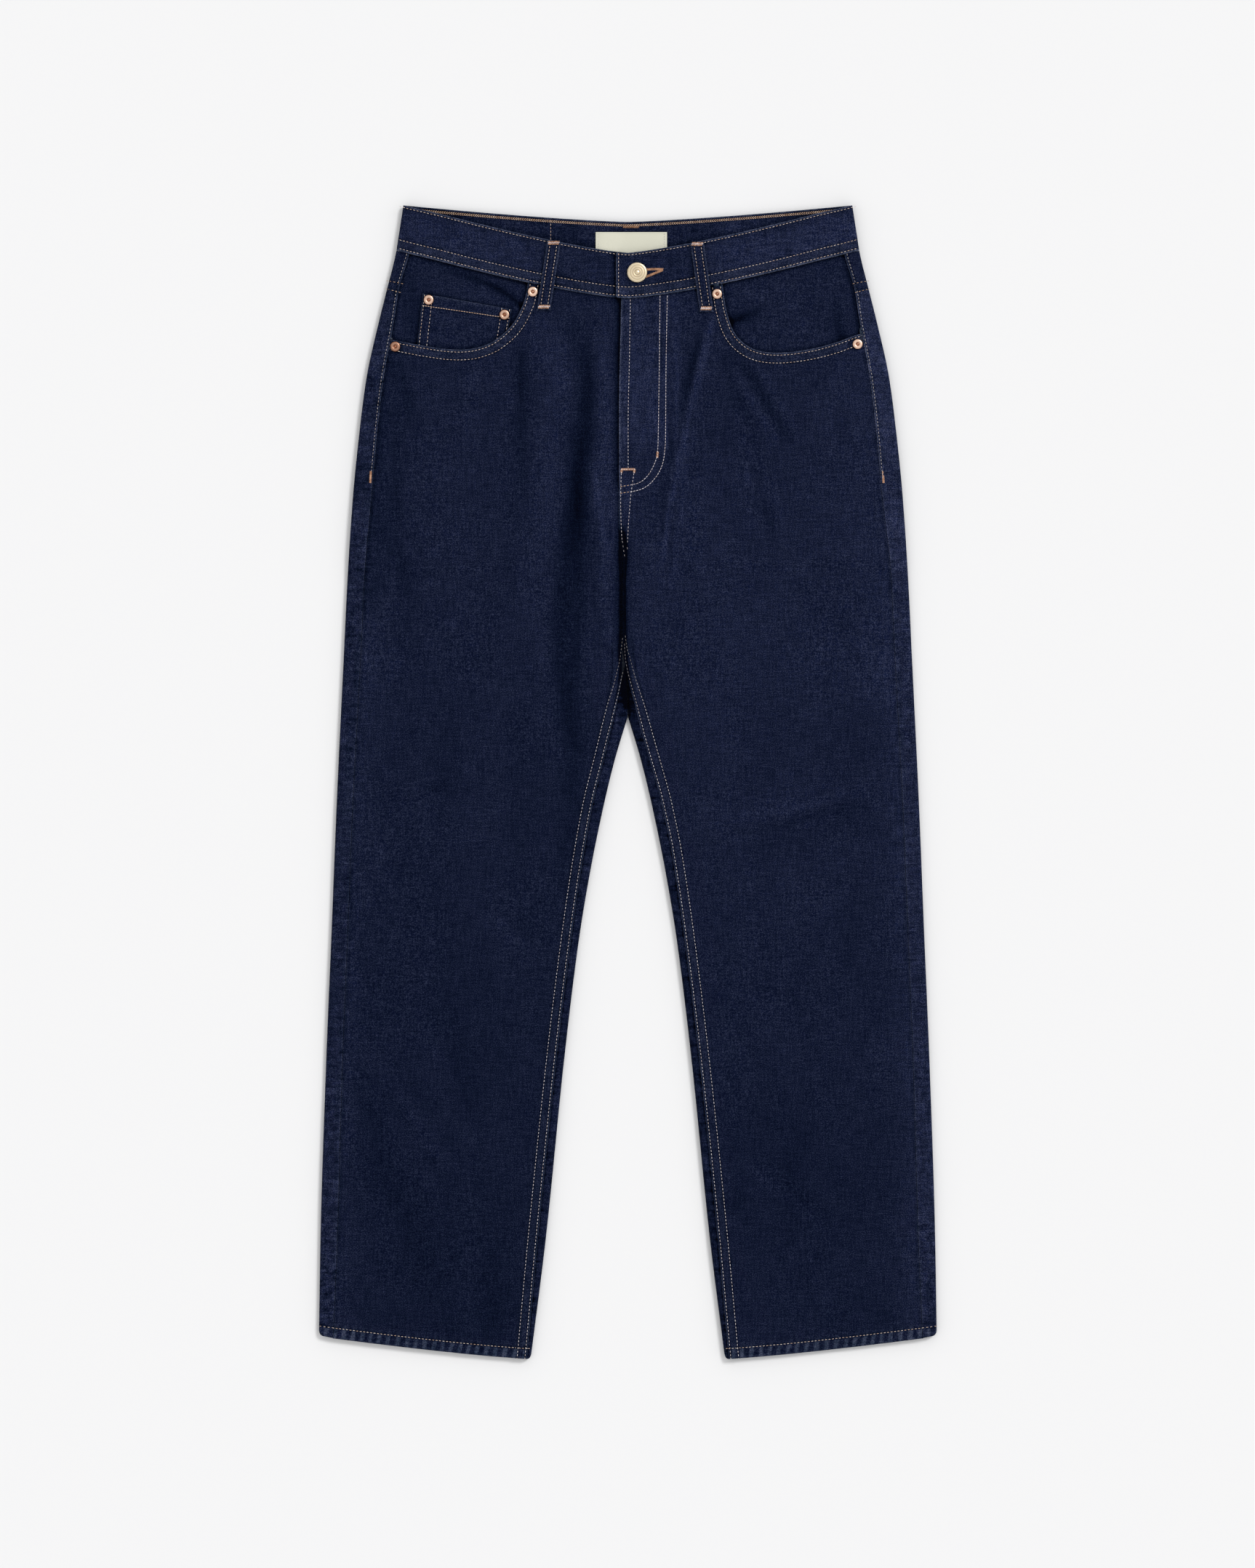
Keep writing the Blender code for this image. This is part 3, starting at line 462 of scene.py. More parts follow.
def pucker(along, distance, reach, height, layer):
    wave = cloudNoise(along / 0.0065, 0 * along, layer)
    wave = wave + 0.6 * cloudNoise(along / 0.014, 0 * along, layer + 1)
    return height * wave * bump(distance, reach)


# distances of the stitch rows from the edges, and from the fly's edge
frontForm = {
    "inseamRows": (0.0020, 0.0090), "hemRow": 0.0094, "mouthRows": (0.0022, 0.0092),
    "flyRow": 0.0090, "flyCurve": (0.0368, 0.0434),
}


def hemRelief(x, h):
    up = h - hemLine(x)
    rope = 0.00022 * cloudNoise((x + 0.35 * up) / 0.0058, 0 * x, 5) * ease(0.0098, 0.0080, up)
    return plateau(up, 0.0098, 0.0004) + groove(up, frontForm["hemRow"]) + rolledEdge(up) + rope


def frontLevel(side, x, h):
    # upper side of a front panel with its seams
    fromInseam = side * x - inseamEdge(h)
    fromCentre = side * x - side * frontRise(h)
    onLeg = ease(0.645, 0.625, h)
    seam = plateau(fromInseam, 0.0102, 0.0007) + rolledEdge(fromInseam)
    for row in frontForm["inseamRows"]:
        seam = seam + groove(fromInseam, row)
    seam = seam + pucker(h, fromInseam - 0.012, 0.010, 0.00022, 3)
    level = topSurface(x, h) + seam * onLeg + hemRelief(x, h)
    upper = 1 - onLeg
    if side > 0:
        fly = rolledEdge(fromCentre) + groove(fromCentre, frontForm["flyRow"]) * ease(0.79, 0.80, h)
        for row in frontForm["flyCurve"]:
            fly = fly + groove(fromCentre, row) * ease(0.815, 0.83, h)
        fly = fly + plateau(fromCentre, frontForm["flyCurve"][1], 0.0003) * ease(0.775, 0.80, h)
        fly = fly + pucker(h, fromCentre - 0.040, 0.012, 0.00016, 7) * ease(0.77, 0.80, h)
        level = level + flyStep(x, h) + fly * upper
    else:
        level = level + 0.4 * rolledEdge(fromCentre) * upper
    mouth = distanceTo(mouths[side], x, h)
    return level + pucker(x + h, mouth - 0.013, 0.009, 0.00020, 9) * ease(0.85, 0.88, h)


def mouthLevel(side, x, h, distance, along):
    rows = frontForm["mouthRows"]
    level = frontLevel(side, x, h) + plateau(distance, 0.0096, 0.00055, 0.0012) - 0.0001
    level = level + rolledEdge(distance) + groove(distance, rows[0]) + groove(distance, rows[1])
    return level + pucker(along, distance - 0.006, 0.006, 0.00010, 11)


# top and foot of each front loop, and the width and the row of stitches of all five
frontLoops = {"Right": ((-0.0660, 0.9975), (-0.0753, 0.9364)), "Left": ((0.0618, 0.9965), (0.0704, 0.9350))}
loopForm = {"width": 0.0122, "arch": 0.0009, "rowOffset": 0.0031}
rivetPlaces = {
    "rivet_right_mouth_top": (-0.0849, 0.9530), "rivet_right_mouth_side": (-0.2077, 0.9040),
    "rivet_coin_outer": (-0.1779, 0.9458), "rivet_coin_inner": (-0.1102, 0.9326),
    "rivet_left_mouth_top": (0.0797, 0.9510), "rivet_left_mouth_side": (0.2052, 0.9062),
}


def shade(distance, depth, width):
    # the dark line beside an edge that lies on top
    return -depth * bump(np.maximum(distance, 0), width)


def shadeOfTrims(x, h):
    # dark lines around the front belt loops and the rivets
    tone = np.zeros(np.broadcast(x, h).shape)
    half = loopForm["width"] / 2
    for (topX, topH), (lowX, lowH) in frontLoops.values():
        middle = topX + (lowX - topX) * np.clip((topH - h) / (topH - lowH), 0, 1)
        near = (h > lowH - 0.004) & (h < topH + 0.002)
        left, right = middle - half - x, x - middle - half
        below = np.maximum(lowH - h, 0)
        for distance, depth in ((left, 0.65), (right, 0.45)):
            away = np.hypot(np.maximum(distance, 0), below)
            tone = tone + shade(away, depth, 0.0018) * near * (distance > -0.0005)
        tone = tone + shade(below, 0.5, 0.0016) * (below > 0) * (left < 0) * (right < 0)
    for x0, h0 in rivetPlaces.values():
        tone = tone + shade(np.hypot(x - x0, h - h0) - 0.0044, 0.55, 0.0013)
    return tone


def newMesh(name, points, faces, attributes):
    mesh = bpy.data.meshes.new(name)
    mesh.from_pydata(points.tolist(), [], faces.tolist())
    for key, values in attributes.items():
        marks = mesh.attributes.new(key, "FLOAT", "POINT")
        marks.data.foreach_set("value", np.ascontiguousarray(values, np.float32))
    return mesh


def newObject(name, data):
    obj = bpy.data.objects.new(name, data)
    bpy.context.scene.collection.objects.link(obj)
    return obj


def gridFaces(shape, keep, outward, offset=0):
    rows, columns = shape
    index = np.arange(rows * columns).reshape(rows, columns)
    a, b, c, d = index[:-1, :-1], index[:-1, 1:], index[1:, 1:], index[1:, :-1]
    whole = keep[:-1, :-1] & keep[:-1, 1:] & keep[1:, 1:] & keep[1:, :-1]
    faces = np.stack([a, b, c, d] if outward else [a, d, c, b], axis=-1)[whole]
    return faces + offset


def clothMesh(name, parts):
    # parts: grids of x, h and z, which points to keep, which way the faces look, and the marks of wear,
    # colour and painted light and shade
    points, faces, count = [], [], 0
    marks = {"wear": [], "tone": [], "rope": [], "mottle": []}
    for part in parts:
        x, h, z = part["x"], part["h"], part["z"]
        keep = part.get("keep", np.ones(x.shape, bool))
        faces.append(gridFaces(x.shape, keep, part["outward"], count))
        points.append(np.stack([x, h - jeans["length"] / 2, z], axis=-1).reshape(-1, 3))
        for key in marks:
            marks[key].append(np.broadcast_to(part.get(key, 0.0), x.shape).reshape(-1))
        count += x.size
    points, faces = np.vstack(points), np.vstack(faces)
    used = np.unique(faces)
    renumber = np.full(count, -1)
    renumber[used] = np.arange(len(used))
    marks = {key: np.concatenate(values)[used] for key, values in marks.items()}
    return newMesh(name, points[used], renumber[faces], marks)


def settled(obj, sharpAngle=50):
    # the evaluated shape as a plain mesh, with its modifiers gone
    graph = bpy.context.evaluated_depsgraph_get()
    mesh = bpy.data.meshes.new_from_object(obj.evaluated_get(graph), preserve_all_data_layers=True,
                                           depsgraph=graph)
    obj.modifiers.clear()
    obj.data = mesh
    mesh.shade_smooth()
    mesh.set_sharp_from_angle(angle=math.radians(sharpAngle))
    return obj


def addPiece(name, mesh, materials):
    mesh.name = name
    mesh.materials.clear()
    for material in materials:
        mesh.materials.append(material)
    return newObject(name, mesh)


def addCloth(name, node, parts, thickness, materials):
    # the outer side of a piece of cloth, given its wall
    obj = addPiece(name, clothMesh(name, parts), materials)
    wall = obj.modifiers.new("wall", "SOLIDIFY")
    wall.thickness = thickness
    wall.offset = -1
    wall.use_even_offset = False
    wall.material_offset = len(materials) - 1
    bpy.context.view_layer.update()
    settled(obj)
    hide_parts(node)
    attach(obj, "root")
    print(name, len(obj.data.polygons), "faces")
    return obj


# finishes
denimLook = {
    "deep": (0.0014, 0.0038, 0.0190), "pale": (0.0292, 0.0370, 0.0745), "worn": (0.066, 0.080, 0.130),
    "inside": (0.11, 0.125, 0.16), "roughness": 0.90, "sheen": 0.01, "specular": 0.03,
    "speckScale": 1180, "patchScale": 38, "warpSlubs": (1300, 55, 1), "weftSlubs": (70, 1300, 1),
    "twillScale": 700, "twillTurn": -28, "ropeScale": 39, "ropeTurn": 9,
    "warpStreak": (420, 60, 1), "weftStreak": (60, 450, 1), "streak": 0.26,
    "puckerScale": 150, "puckerLines": (90, 330, 1),
    # how much of the painted shade and highlight the red and the blue take up, where it is dark and where it
    # is pale
    "redPower": (1.35, 1.12), "bluePower": (0.74, 0.90),
}


def newMaterial(name):
    material = bpy.data.materials.new(name)
    material.use_nodes = True
    tree = material.node_tree
    place = tree.nodes.new("ShaderNodeTexCoord").outputs["Object"]
    return material, tree, tree.nodes["Principled BSDF"], place


def addNode(tree, kind, settings=None, **inputs):
    node = tree.nodes.new(kind)
    for key, value in (settings or {}).items():
        setattr(node, key, value)
    for key, value in inputs.items():
        socket = node.inputs[int(key[1:])] if key[0] == "i" and key[1:].isdigit() else node.inputs[key]
        if isinstance(value, bpy.types.NodeSocket):
            tree.links.new(value, socket)
        else:
            socket.default_value = value
    return node


def reckon(tree, operation, a, b=0.0):
    return addNode(tree, "ShaderNodeMath", {"operation": operation}, i0=a, i1=b).outputs[0]


def plus(tree, a, b):
    return reckon(tree, "ADD", a, b)


def times(tree, a, b):
    return reckon(tree, "MULTIPLY", a, b)


def noiseAt(tree, vector, scale, detail=2.0, roughness=0.5):
    node = addNode(tree, "ShaderNodeTexNoise", None, Vector=vector, Scale=scale, Detail=detail,
                   Roughness=roughness)
    return node.outputs["Fac"]


def bandsAt(tree, place, turn, scale, distortion):
    # soft stripes across the cloth, turned by this many degrees
    return addNode(tree, "ShaderNodeTexWave", {"wave_type": "BANDS", "bands_direction": "X"},
                   Vector=stretched(tree, place, (1, 1, 1), math.radians(turn)),
                   Scale=scale, Distortion=distortion, Detail=1.0).outputs["Fac"]


def stretched(tree, vector, scale, turn=0.0):
    return addNode(tree, "ShaderNodeMapping", None, Vector=vector, Scale=scale,
                   Rotation=(0, 0, turn)).outputs["Vector"]


def remapped(tree, value, low, high, toLow=0.0, toHigh=1.0):
    node = addNode(tree, "ShaderNodeMapRange", {"clamp": True}, Value=value)
    node.inputs["From Min"].default_value = low
    node.inputs["From Max"].default_value = high
    node.inputs["To Min"].default_value = toLow
    node.inputs["To Max"].default_value = toHigh
    return node.outputs["Result"]


def mixColour(tree, share, a, b, blend="MIX"):
    node = tree.nodes.new("ShaderNodeMix")
    node.data_type = "RGBA"
    node.blend_type = blend
    node.clamp_factor = True
    for socket, value in ((node.inputs[0], share), (node.inputs[6], a), (node.inputs[7], b)):
        if isinstance(value, bpy.types.NodeSocket):
            tree.links.new(value, socket)
        else:
            socket.default_value = (*value, 1) if isinstance(value, tuple) and len(value) == 3 else value
    return node.outputs[2]


def attribute(tree, name):
    return addNode(tree, "ShaderNodeAttribute", {"attribute_name": name}).outputs["Fac"]


def multiplied(tree, colour, red, green, blue):
    shade = addNode(tree, "ShaderNodeCombineXYZ", None, X=red, Y=green, Z=blue).outputs[0]
    return mixColour(tree, 1.0, colour, shade, "MULTIPLY")


def addBump(tree, shader, height, strength, distance):
    node = addNode(tree, "ShaderNodeBump", None, Height=height, Strength=strength, Distance=distance)
    tree.links.new(node.outputs["Normal"], shader.inputs["Normal"])


def makeDenim(name, deep, pale, worn):
    material, tree, shader, place = newMaterial(name)
    speck = noiseAt(tree, place, denimLook["speckScale"])
    patch = noiseAt(tree, place, denimLook["patchScale"], 4.0, 0.6)
    warp = noiseAt(tree, stretched(tree, place, denimLook["warpSlubs"]), 1.0)
    weft = noiseAt(tree, stretched(tree, place, denimLook["weftSlubs"]), 1.0)
    twill = bandsAt(tree, place, denimLook["twillTurn"], denimLook["twillScale"], 1.2)
    # pale specks, denser in patches and along the slubs
    slubs = plus(tree, remapped(tree, warp, 0.35, 0.75, -0.03, 0.05),
                 remapped(tree, weft, 0.40, 0.75, -0.02, 0.05))
    density = plus(tree, remapped(tree, patch, 0.30, 0.72, -0.010, 0.014), slubs)
    specks = remapped(tree, plus(tree, speck, density), 0.45, 0.76)
    base = mixColour(tree, plus(tree, specks, times(tree, twill, 0.05)), deep, pale)
    # rubbed edges, and the slanting stripes of a roped hem
    rubbed = times(tree, attribute(tree, "wear"), remapped(tree, speck, 0.38, 0.62, 0.1, 1.0))
    stripes = bandsAt(tree, place, denimLook["ropeTurn"], denimLook["ropeScale"], 3.0)
    stripes = times(tree, remapped(tree, stripes, 0.35, 0.85), remapped(tree, speck, 0.35, 0.6, 0.2, 1.0))
    roped = times(tree, attribute(tree, "rope"), stripes)
    base = mixColour(tree, reckon(tree, "MAXIMUM", rubbed, roped), base, worn)
    # streaks along the warp and the weft
    streak = denimLook["streak"]
    mottle = 1.0
    for key in ("warpStreak", "weftStreak"):
        threads = noiseAt(tree, stretched(tree, place, denimLook[key]), 1.0, 3.0, 0.6)
        mottle = plus(tree, remapped(tree, threads, 0.30, 0.70, -streak, streak), mottle)
    # random dark and pale patches beside the seams: painted light and shade of the puckered cloth
    puckers = plus(tree, noiseAt(tree, place, denimLook["puckerScale"], 2.0, 0.6),
                   noiseAt(tree, stretched(tree, place, denimLook["puckerLines"]), 1.0, 2.0, 0.6))
    puckerShade = times(tree, attribute(tree, "mottle"), remapped(tree, puckers, 0.70, 1.30, -1.0, 1.0))
    # the painted shade and highlight of the folds and seams, with the random darker and paler patches, which
    # keep more of the blue than of the red
    tone = plus(tree, plus(tree, attribute(tree, "tone"), puckerShade), 1.0)
    tone = times(tree, reckon(tree, "MAXIMUM", tone, 0.04), mottle)
    dark, light = reckon(tree, "MINIMUM", tone, 1.0), reckon(tree, "MAXIMUM", tone, 1.0)
    red, blue = (times(tree, reckon(tree, "POWER", dark, low), reckon(tree, "POWER", light, high))
                 for low, high in (denimLook["redPower"], denimLook["bluePower"]))
    tree.links.new(multiplied(tree, base, red, tone, blue), shader.inputs["Base Color"])
    shader.inputs["Roughness"].default_value = denimLook["roughness"]
    shader.inputs["Specular IOR Level"].default_value = denimLook["specular"]
    shader.inputs["Sheen Weight"].default_value = denimLook["sheen"]
    shader.inputs["Sheen Roughness"].default_value = 0.45
    height = plus(tree, times(tree, speck, 0.8), times(tree, twill, 0.5))
    addBump(tree, shader, plus(tree, height, times(tree, plus(tree, warp, weft), 0.5)), 0.55, 0.00025)
    return material


# painted shade: the stitches are darker near the place where the legs meet
threadLook = {"fork": (-0.0040, 0.0620, 0.0090), "forkReach": (0.016, 0.042), "forkDim": 0.22}


def makeThread(name, colour, shadow):
    material, tree, shader, place = newMaterial(name)
    thread = mixColour(tree, remapped(tree, noiseAt(tree, place, 300), 0.35, 0.65), shadow, colour)
    # painted shade on the stitches, darker towards the crotch
    fork = addNode(tree, "ShaderNodeVectorMath", {"operation": "DISTANCE"},
                   i0=stretched(tree, place, (1, 0.45, 1)), i1=threadLook["fork"])
    dim = remapped(tree, fork.outputs["Value"], *threadLook["forkReach"], threadLook["forkDim"], 1.0)
    tree.links.new(multiplied(tree, thread, dim, dim, dim), shader.inputs["Base Color"])
    shader.inputs["Roughness"].default_value = 0.6
    shader.inputs["Sheen Weight"].default_value = 0.2
    addBump(tree, shader, noiseAt(tree, place, 3000, 1.0), 0.4, 0.0001)
    return material


def makeMetal(name, colour, tarnish, roughness):
    material, tree, shader, place = newMaterial(name)
    lot = noiseAt(tree, place, 700, 4.0, 0.65)
    # tarnish in the hollows, with the painted dimming of a rivet's reflection
    dull = reckon(tree, "MAXIMUM", attribute(tree, "tarnishAndDimming"), remapped(tree, lot, 0.52, 0.75, 0.0, 0.55))
    tree.links.new(mixColour(tree, dull, colour, tarnish), shader.inputs["Base Color"])
    rough = remapped(tree, lot, 0.3, 0.7, roughness - 0.06, roughness + 0.14)
    tree.links.new(rough, shader.inputs["Roughness"])
    shader.inputs["Metallic"].default_value = 1.0
    addBump(tree, shader, lot, 0.25, 0.0001)
    return material


def makeLabelCloth():
    material, tree, shader, place = newMaterial("label cloth")
    ribs = addNode(tree, "ShaderNodeTexWave", {"bands_direction": "Y"}, Vector=place, Scale=700,
                   Distortion=0.6).outputs["Fac"]
    share = plus(tree, times(tree, ribs, 0.35), times(tree, noiseAt(tree, place, 60, 3.0), 0.5))
    cloth = mixColour(tree, share, (0.62, 0.61, 0.49), (0.80, 0.79, 0.67))
    tree.links.new(cloth, shader.inputs["Base Color"])
    shader.inputs["Roughness"].default_value = 0.75
    addBump(tree, shader, ribs, 0.3, 0.0001)
    return material


denim = makeDenim("indigo denim", denimLook["deep"], denimLook["pale"], denimLook["worn"])
denimInside = makeDenim("denim reverse", (0.05, 0.06, 0.085), denimLook["inside"], denimLook["inside"])
creamThread = makeThread("cream thread", (0.80, 0.76, 0.80), (0.50, 0.42, 0.43))
orangeThread = makeThread("copper thread", (0.62, 0.36, 0.23), (0.36, 0.17, 0.09))
brownThread = makeThread("brown thread", (0.50, 0.26, 0.14), (0.30, 0.14, 0.07))
tanThread = makeThread("tan thread", (0.66, 0.47, 0.34), (0.38, 0.22, 0.13))
# a darker copy of the cream thread: painted shade for the rows along the side seams and at the lower end of
# the crotch rows
shadedCreamThread = makeThread("shaded cream thread", (0.52, 0.49, 0.50), (0.30, 0.26, 0.26))
peachThread = makeThread("peach thread", (0.80, 0.70, 0.64), (0.50, 0.34, 0.26))
brass = makeMetal("antique brass", (0.86, 0.73, 0.52), (0.42, 0.31, 0.18), 0.40)
copper = makeMetal("copper plate", (0.98, 0.70, 0.54), (0.34, 0.15, 0.09), 0.32)
labelCloth = makeLabelCloth()
print("finishes made")


# front panels
panelMesh = {
    "rowStep": 0.0032, "closeColumns": 26, "closeWidth": 0.060, "middleColumns": 40,
    "hemRows": (0, 0.0003, 0.0008, 0.0015, 0.0028, 0.0045, 0.0062, 0.0076, 0.0086, 0.0094, 0.0102,
                0.0110, 0.0120, 0.0135, 0.0155, 0.0180),
    # distances of the columns from the outer edge and from the inner one
    "outerColumns": (0, 0.0004, 0.0010, 0.0020, 0.0034, 0.0054, 0.0080),
    "innerColumns": (0.0470, 0.0450, 0.0443, 0.0437, 0.0431, 0.0424, 0.0412, 0.0395, 0.0383, 0.0375, 0.0369,
                     0.0363, 0.0356, 0.0345, 0.0310, 0.0270, 0.0230, 0.0195, 0.0165, 0.0142, 0.0124, 0.0112,
                     0.0104, 0.0098, 0.0093, 0.0087, 0.0081, 0.0072, 0.0060, 0.0046, 0.0036, 0.0030, 0.0025,
                     0.0020, 0.0015, 0.0010, 0.0006, 0.0003, 0),
}


def rowHeights(top, step):
    start, end = panelMesh["hemRows"][-1], top - 0.0020
    middle = np.linspace(start, end, int((end - start) / step) + 1)[1:]
    return np.concatenate([panelMesh["hemRows"], middle, [top - 0.0010, top - 0.0004, top]])


def meetAll(v, lower, upper, edge):
    across = edge(np.full(v.shape, 0.5))
    for _ in range(14):
        across = edge(lower(across) + v * (upper(across) - lower(across)))
    return across


def frontUpper(across):
    return bandFrontBottom(across) - jeans["gap"]


def frontInnerEdge(side, h):
    half, joined = jeans["gap"] / 2, 0.640
    leg = side * np.interp(h, [jeans["crotchHeight"], joined], [0.0010, half])
    edge = frontRise(h) + side * half
    if side < 0:
        edge = edge + (jeans["flyUnderlap"] + half) * ease(jeans["flyFoot"], jeans["flyFoot"] + 0.006, h)
    return np.where(h < joined, leg, edge)


def frontGrid(side):
    top = float(frontUpper(0.0))
    heights = rowHeights(top, panelMesh["rowStep"])
    v = heights / top
    outer = side * (meetAll(v, hemLine, frontUpper, sideSeam) - jeans["gap"] / 2)
    legInner = side * (meetAll(v, hemLine, frontUpper, inseamEdge) + jeans["gap"] / 2)
    inner = np.where(heights <= jeans["crotchHeight"], legInner, frontInnerEdge(side, heights))
    start, end = np.array(panelMesh["outerColumns"]), np.array(panelMesh["innerColumns"])
    width = np.abs(outer - inner)[:, None]
    # wide columns on the leg's outer part, close ones beside the fly, where the folds are sharp
    wide = np.linspace(0, 1, panelMesh["middleColumns"] + 2)[None, 1:-1]
    close = np.linspace(0, 1, panelMesh["closeColumns"] + 1)[None, :-1]
    far = end[0] + panelMesh["closeWidth"] * np.minimum(1, (width - end[0]) / 0.140)
    share = np.hstack([start / width, (start[-1] + wide * (width - start[-1] - far)) / width,
                       (width - far + close * (far - end[0])) / width, 1 - end / width])
    x = outer[:, None] + (inner - outer)[:, None] * share
    low, high = hemLine(x), frontUpper(x)
    return x, low + v[:, None] * (high - low)


def frontWear(side, h, edge, up, fromSide):
    # rubbed pale along the inseams, the fly's edge, the hem and the side
    onLeg = ease(0.645, 0.635, h)
    edgeWear = onLeg * 0.45 + (1 - onLeg) * (0.75 if side > 0 else 0.0)
    wear = edgeWear * bump(edge, 0.0015) + 0.35 * bump(up, 0.0012)
    wear = wear + (0.10 + 0.05 * cloudNoise(h / 0.02, 0 * h, 31)) * ease(0.0105, 0.0090, edge) * onLeg
    wear = wear + 0.16 * bump(fromSide, 0.0010) * ease(0.800, 0.780, h)
    if side > 0:
        wear = wear + 0.06 * ease(0.0100, 0.0085, edge) * ease(0.79, 0.80, h)
    return wear


def frontShadeAndTone(side, x, h, edge, up, fromSide):
    onLeg = ease(0.645, 0.635, h)
    # painted shade and highlight: the fold strokes, and the relief's slopes painted paler where they face the
    # light from the right and above, darker where they face away
    slope = (frontRelief(x - 0.001, h) - frontRelief(x + 0.001, h)) / 0.002
    rise = (frontRelief(x, h - 0.001) - frontRelief(x, h + 0.001)) / 0.002
    tone = strokes(foldShadeStrokes, x + leanOf(side, x, h), h) + np.clip(1.6 * slope + 1.2 * rise, -0.2, 0.2)
    tone = tone + 0.06 * cloudNoise(x / 0.035, h / 0.060, 2) + 0.04 * cloudNoise(x / 0.013, h / 0.024, 3)
    # each leg is painted a little lighter or darker in places, and beside its side seam
    if side < 0:
        tone = tone - 0.11 * ease(0.64, 0.54, h) + 0.08 * ease(0.36, 0.26, h)
        tone = tone + shade(fromSide, 0.28, 0.0160) * ease(0.64, 0.70, h)
        tone = tone + shade(fromSide, -0.22, 0.0160) * ease(0.70, 0.64, h)
    else:
        tone = tone + 0.10 * ease(0.56, 0.62, h) * ease(0.83, 0.77, h) + 0.05 * ease(0.34, 0.26, h)
        tone = tone + shade(fromSide, -0.12 - 0.18 * ease(0.70, 0.62, h), 0.0150)
    for row in frontForm["inseamRows"]:
        tone = tone + rowTone(edge, row, -0.62) * onLeg
    if side > 0:
        tone = tone + rowTone(edge, frontForm["flyRow"]) * ease(0.79, 0.80, h)
        for row in frontForm["flyCurve"]:
            tone = tone + rowTone(edge, row, -0.30) * ease(0.815, 0.83, h)
        fly = ease(0.0450, 0.0430, edge) * ease(0.800, 0.830, h)
        tone = tone + (0.42 + 0.30 * cloudNoise(x / 0.008, h / 0.024, 12)) * fly
        # painted highlight along the ridge beside the fly's curved rows
        tone = tone + 0.32 * bump(edge - 0.0475, 0.0055) * ease(0.815, 0.83, h)
    else:
        tone = tone + shade(frontRise(h) - x, 0.97, 0.0048) * ease(0.765, 0.785, h)
    tone = tone + shade(np.abs(edge), 0.40, 0.0020) * ease(0.780, 0.765, h) * (1 - onLeg)
    tone = tone + shade(frontUpper(x) - h, 0.65, 0.0020) + shadeOfTrims(x, h)
    # painted shade: dark lines at and just inside the side seam's edge
    tone = tone - 0.35 * bump(fromSide - 0.0016, 0.0010) + shade(fromSide, 0.30, 0.0006)
    return tone + rowTone(up, 0.0096, -0.45) - 0.20 * ease(0.50, 0.15, h)


def frontMottle(side, h, edge, up, fromSide):
    # where the puckered cloth's light and shade is painted as random patches: beside the side seam, the
    # inseam, the fly, the hem and the waistband
    mottle = 0.28 * bump(np.maximum(fromSide, 0), 0.0110) + 0.20 * bump(edge, 0.0090) * ease(0.645, 0.635, h)
    if side > 0:
        mottle = mottle + 0.22 * ease(0.0450, 0.0430, edge) * ease(0.800, 0.830, h)
    return mottle + 0.25 * ease(0.0130, 0.0090, up) + 0.12 * ease(0.930, 0.945, h)


def frontPanel(side):
    x, h = frontGrid(side)
    path = mouths[side]
    mouth = distanceTo(path, x, h)
    above = h > np.interp(np.abs(x), np.abs(path[:, 0]), path[:, 1])
    cut = (np.abs(x) > np.abs(path[0, 0])) & above
    z = frontLevel(side, x, h) - 0.0005 * (1 - ease(0.0080, 0.0100, mouth))
    up = h - hemLine(x)
    edge = np.where(h < 0.64, side * x - inseamEdge(h), side * (x - frontRise(h)))
    fromSide = sideSeam(h) - np.abs(x)
    rope = 0.55 + 0.25 * ease(-0.155, -0.135, x) * ease(-0.08, -0.10, x)
    panel = {
        "x": drawnIn(x + leanOf(side, x, h), h), "h": h, "z": z, "outward": side < 0,
        "keep": ~(cut | (mouth < 0.0045)),
        "wear": frontWear(side, h, edge, up, fromSide),
        "tone": frontShadeAndTone(side, x, h, edge, up, fromSide),
        "mottle": frontMottle(side, h, edge, up, fromSide),
        "rope": rope * ease(0.0090, 0.0078, up) + 0.18 * ease(0.0150, 0.0105, up),
    }
    return [panel, mouthBand(side)]


mouthForm = {
    "step": 0.0022,
    "across": (0, 0.0002, 0.0005, 0.0009, 0.0013, 0.0018, 0.0022, 0.0026, 0.0032, 0.0044, 0.0058,
               0.0072, 0.0082, 0.0088, 0.0092, 0.0096, 0.0102, 0.0108, 0.0114),
}


def mouthPath(side):
    return evenly(throughPoints(jeans["rightMouth" if side < 0 else "leftMouth"], 12), mouthForm["step"])


def mouthBand(side):
    # the turned edge of the pocket mouth, with its two stitch rows
    path = mouthPath(side)
    across = np.array(mouthForm["across"])
    points = np.stack([beside(path, side * -distance) for distance in across], axis=1)
    x, h = points[..., 0], points[..., 1]
    limit = sideSeam(h) - jeans["gap"] / 2
    x = np.where(np.abs(x) > limit, side * limit, x)
    top = frontUpper(x)
    h = np.minimum(h, top)
    along = np.arange(len(path))[:, None] * mouthForm["step"] + 0 * x
    z = mouthLevel(side, x, h, across[None, :] + 0 * x, along)
    z[:, -1] -= 0.0004
    tone = strokes(foldShadeStrokes, x, h) + rowTone(across, 0.0022, -0.45) + rowTone(across, 0.0092, -0.50)
    tone = tone + shade(top - h, 0.65, 0.0020) + shadeOfTrims(x, h) + shade(across[-1] - across, 0.30, 0.0012)
    wear = 0.80 * bump(across, 0.0012) + 0.12 * ease(0.0100, 0.0090, across)
    return {"x": drawnIn(x, h), "h": h, "z": z, "outward": side > 0, "tone": tone, "wear": wear,
            "mottle": 0.25}


for side, word in ((-1, "Right"), (1, "Left")):
    addCloth("front" + word, "front_" + word.lower(), frontPanel(side), jeans["cloth"],
                                 [denim, denimInside])
print("front panels done")


# back panels and yokes
backMesh = {"rowStep": 0.0042, "over": 15, "turn": 8, "under": 34}


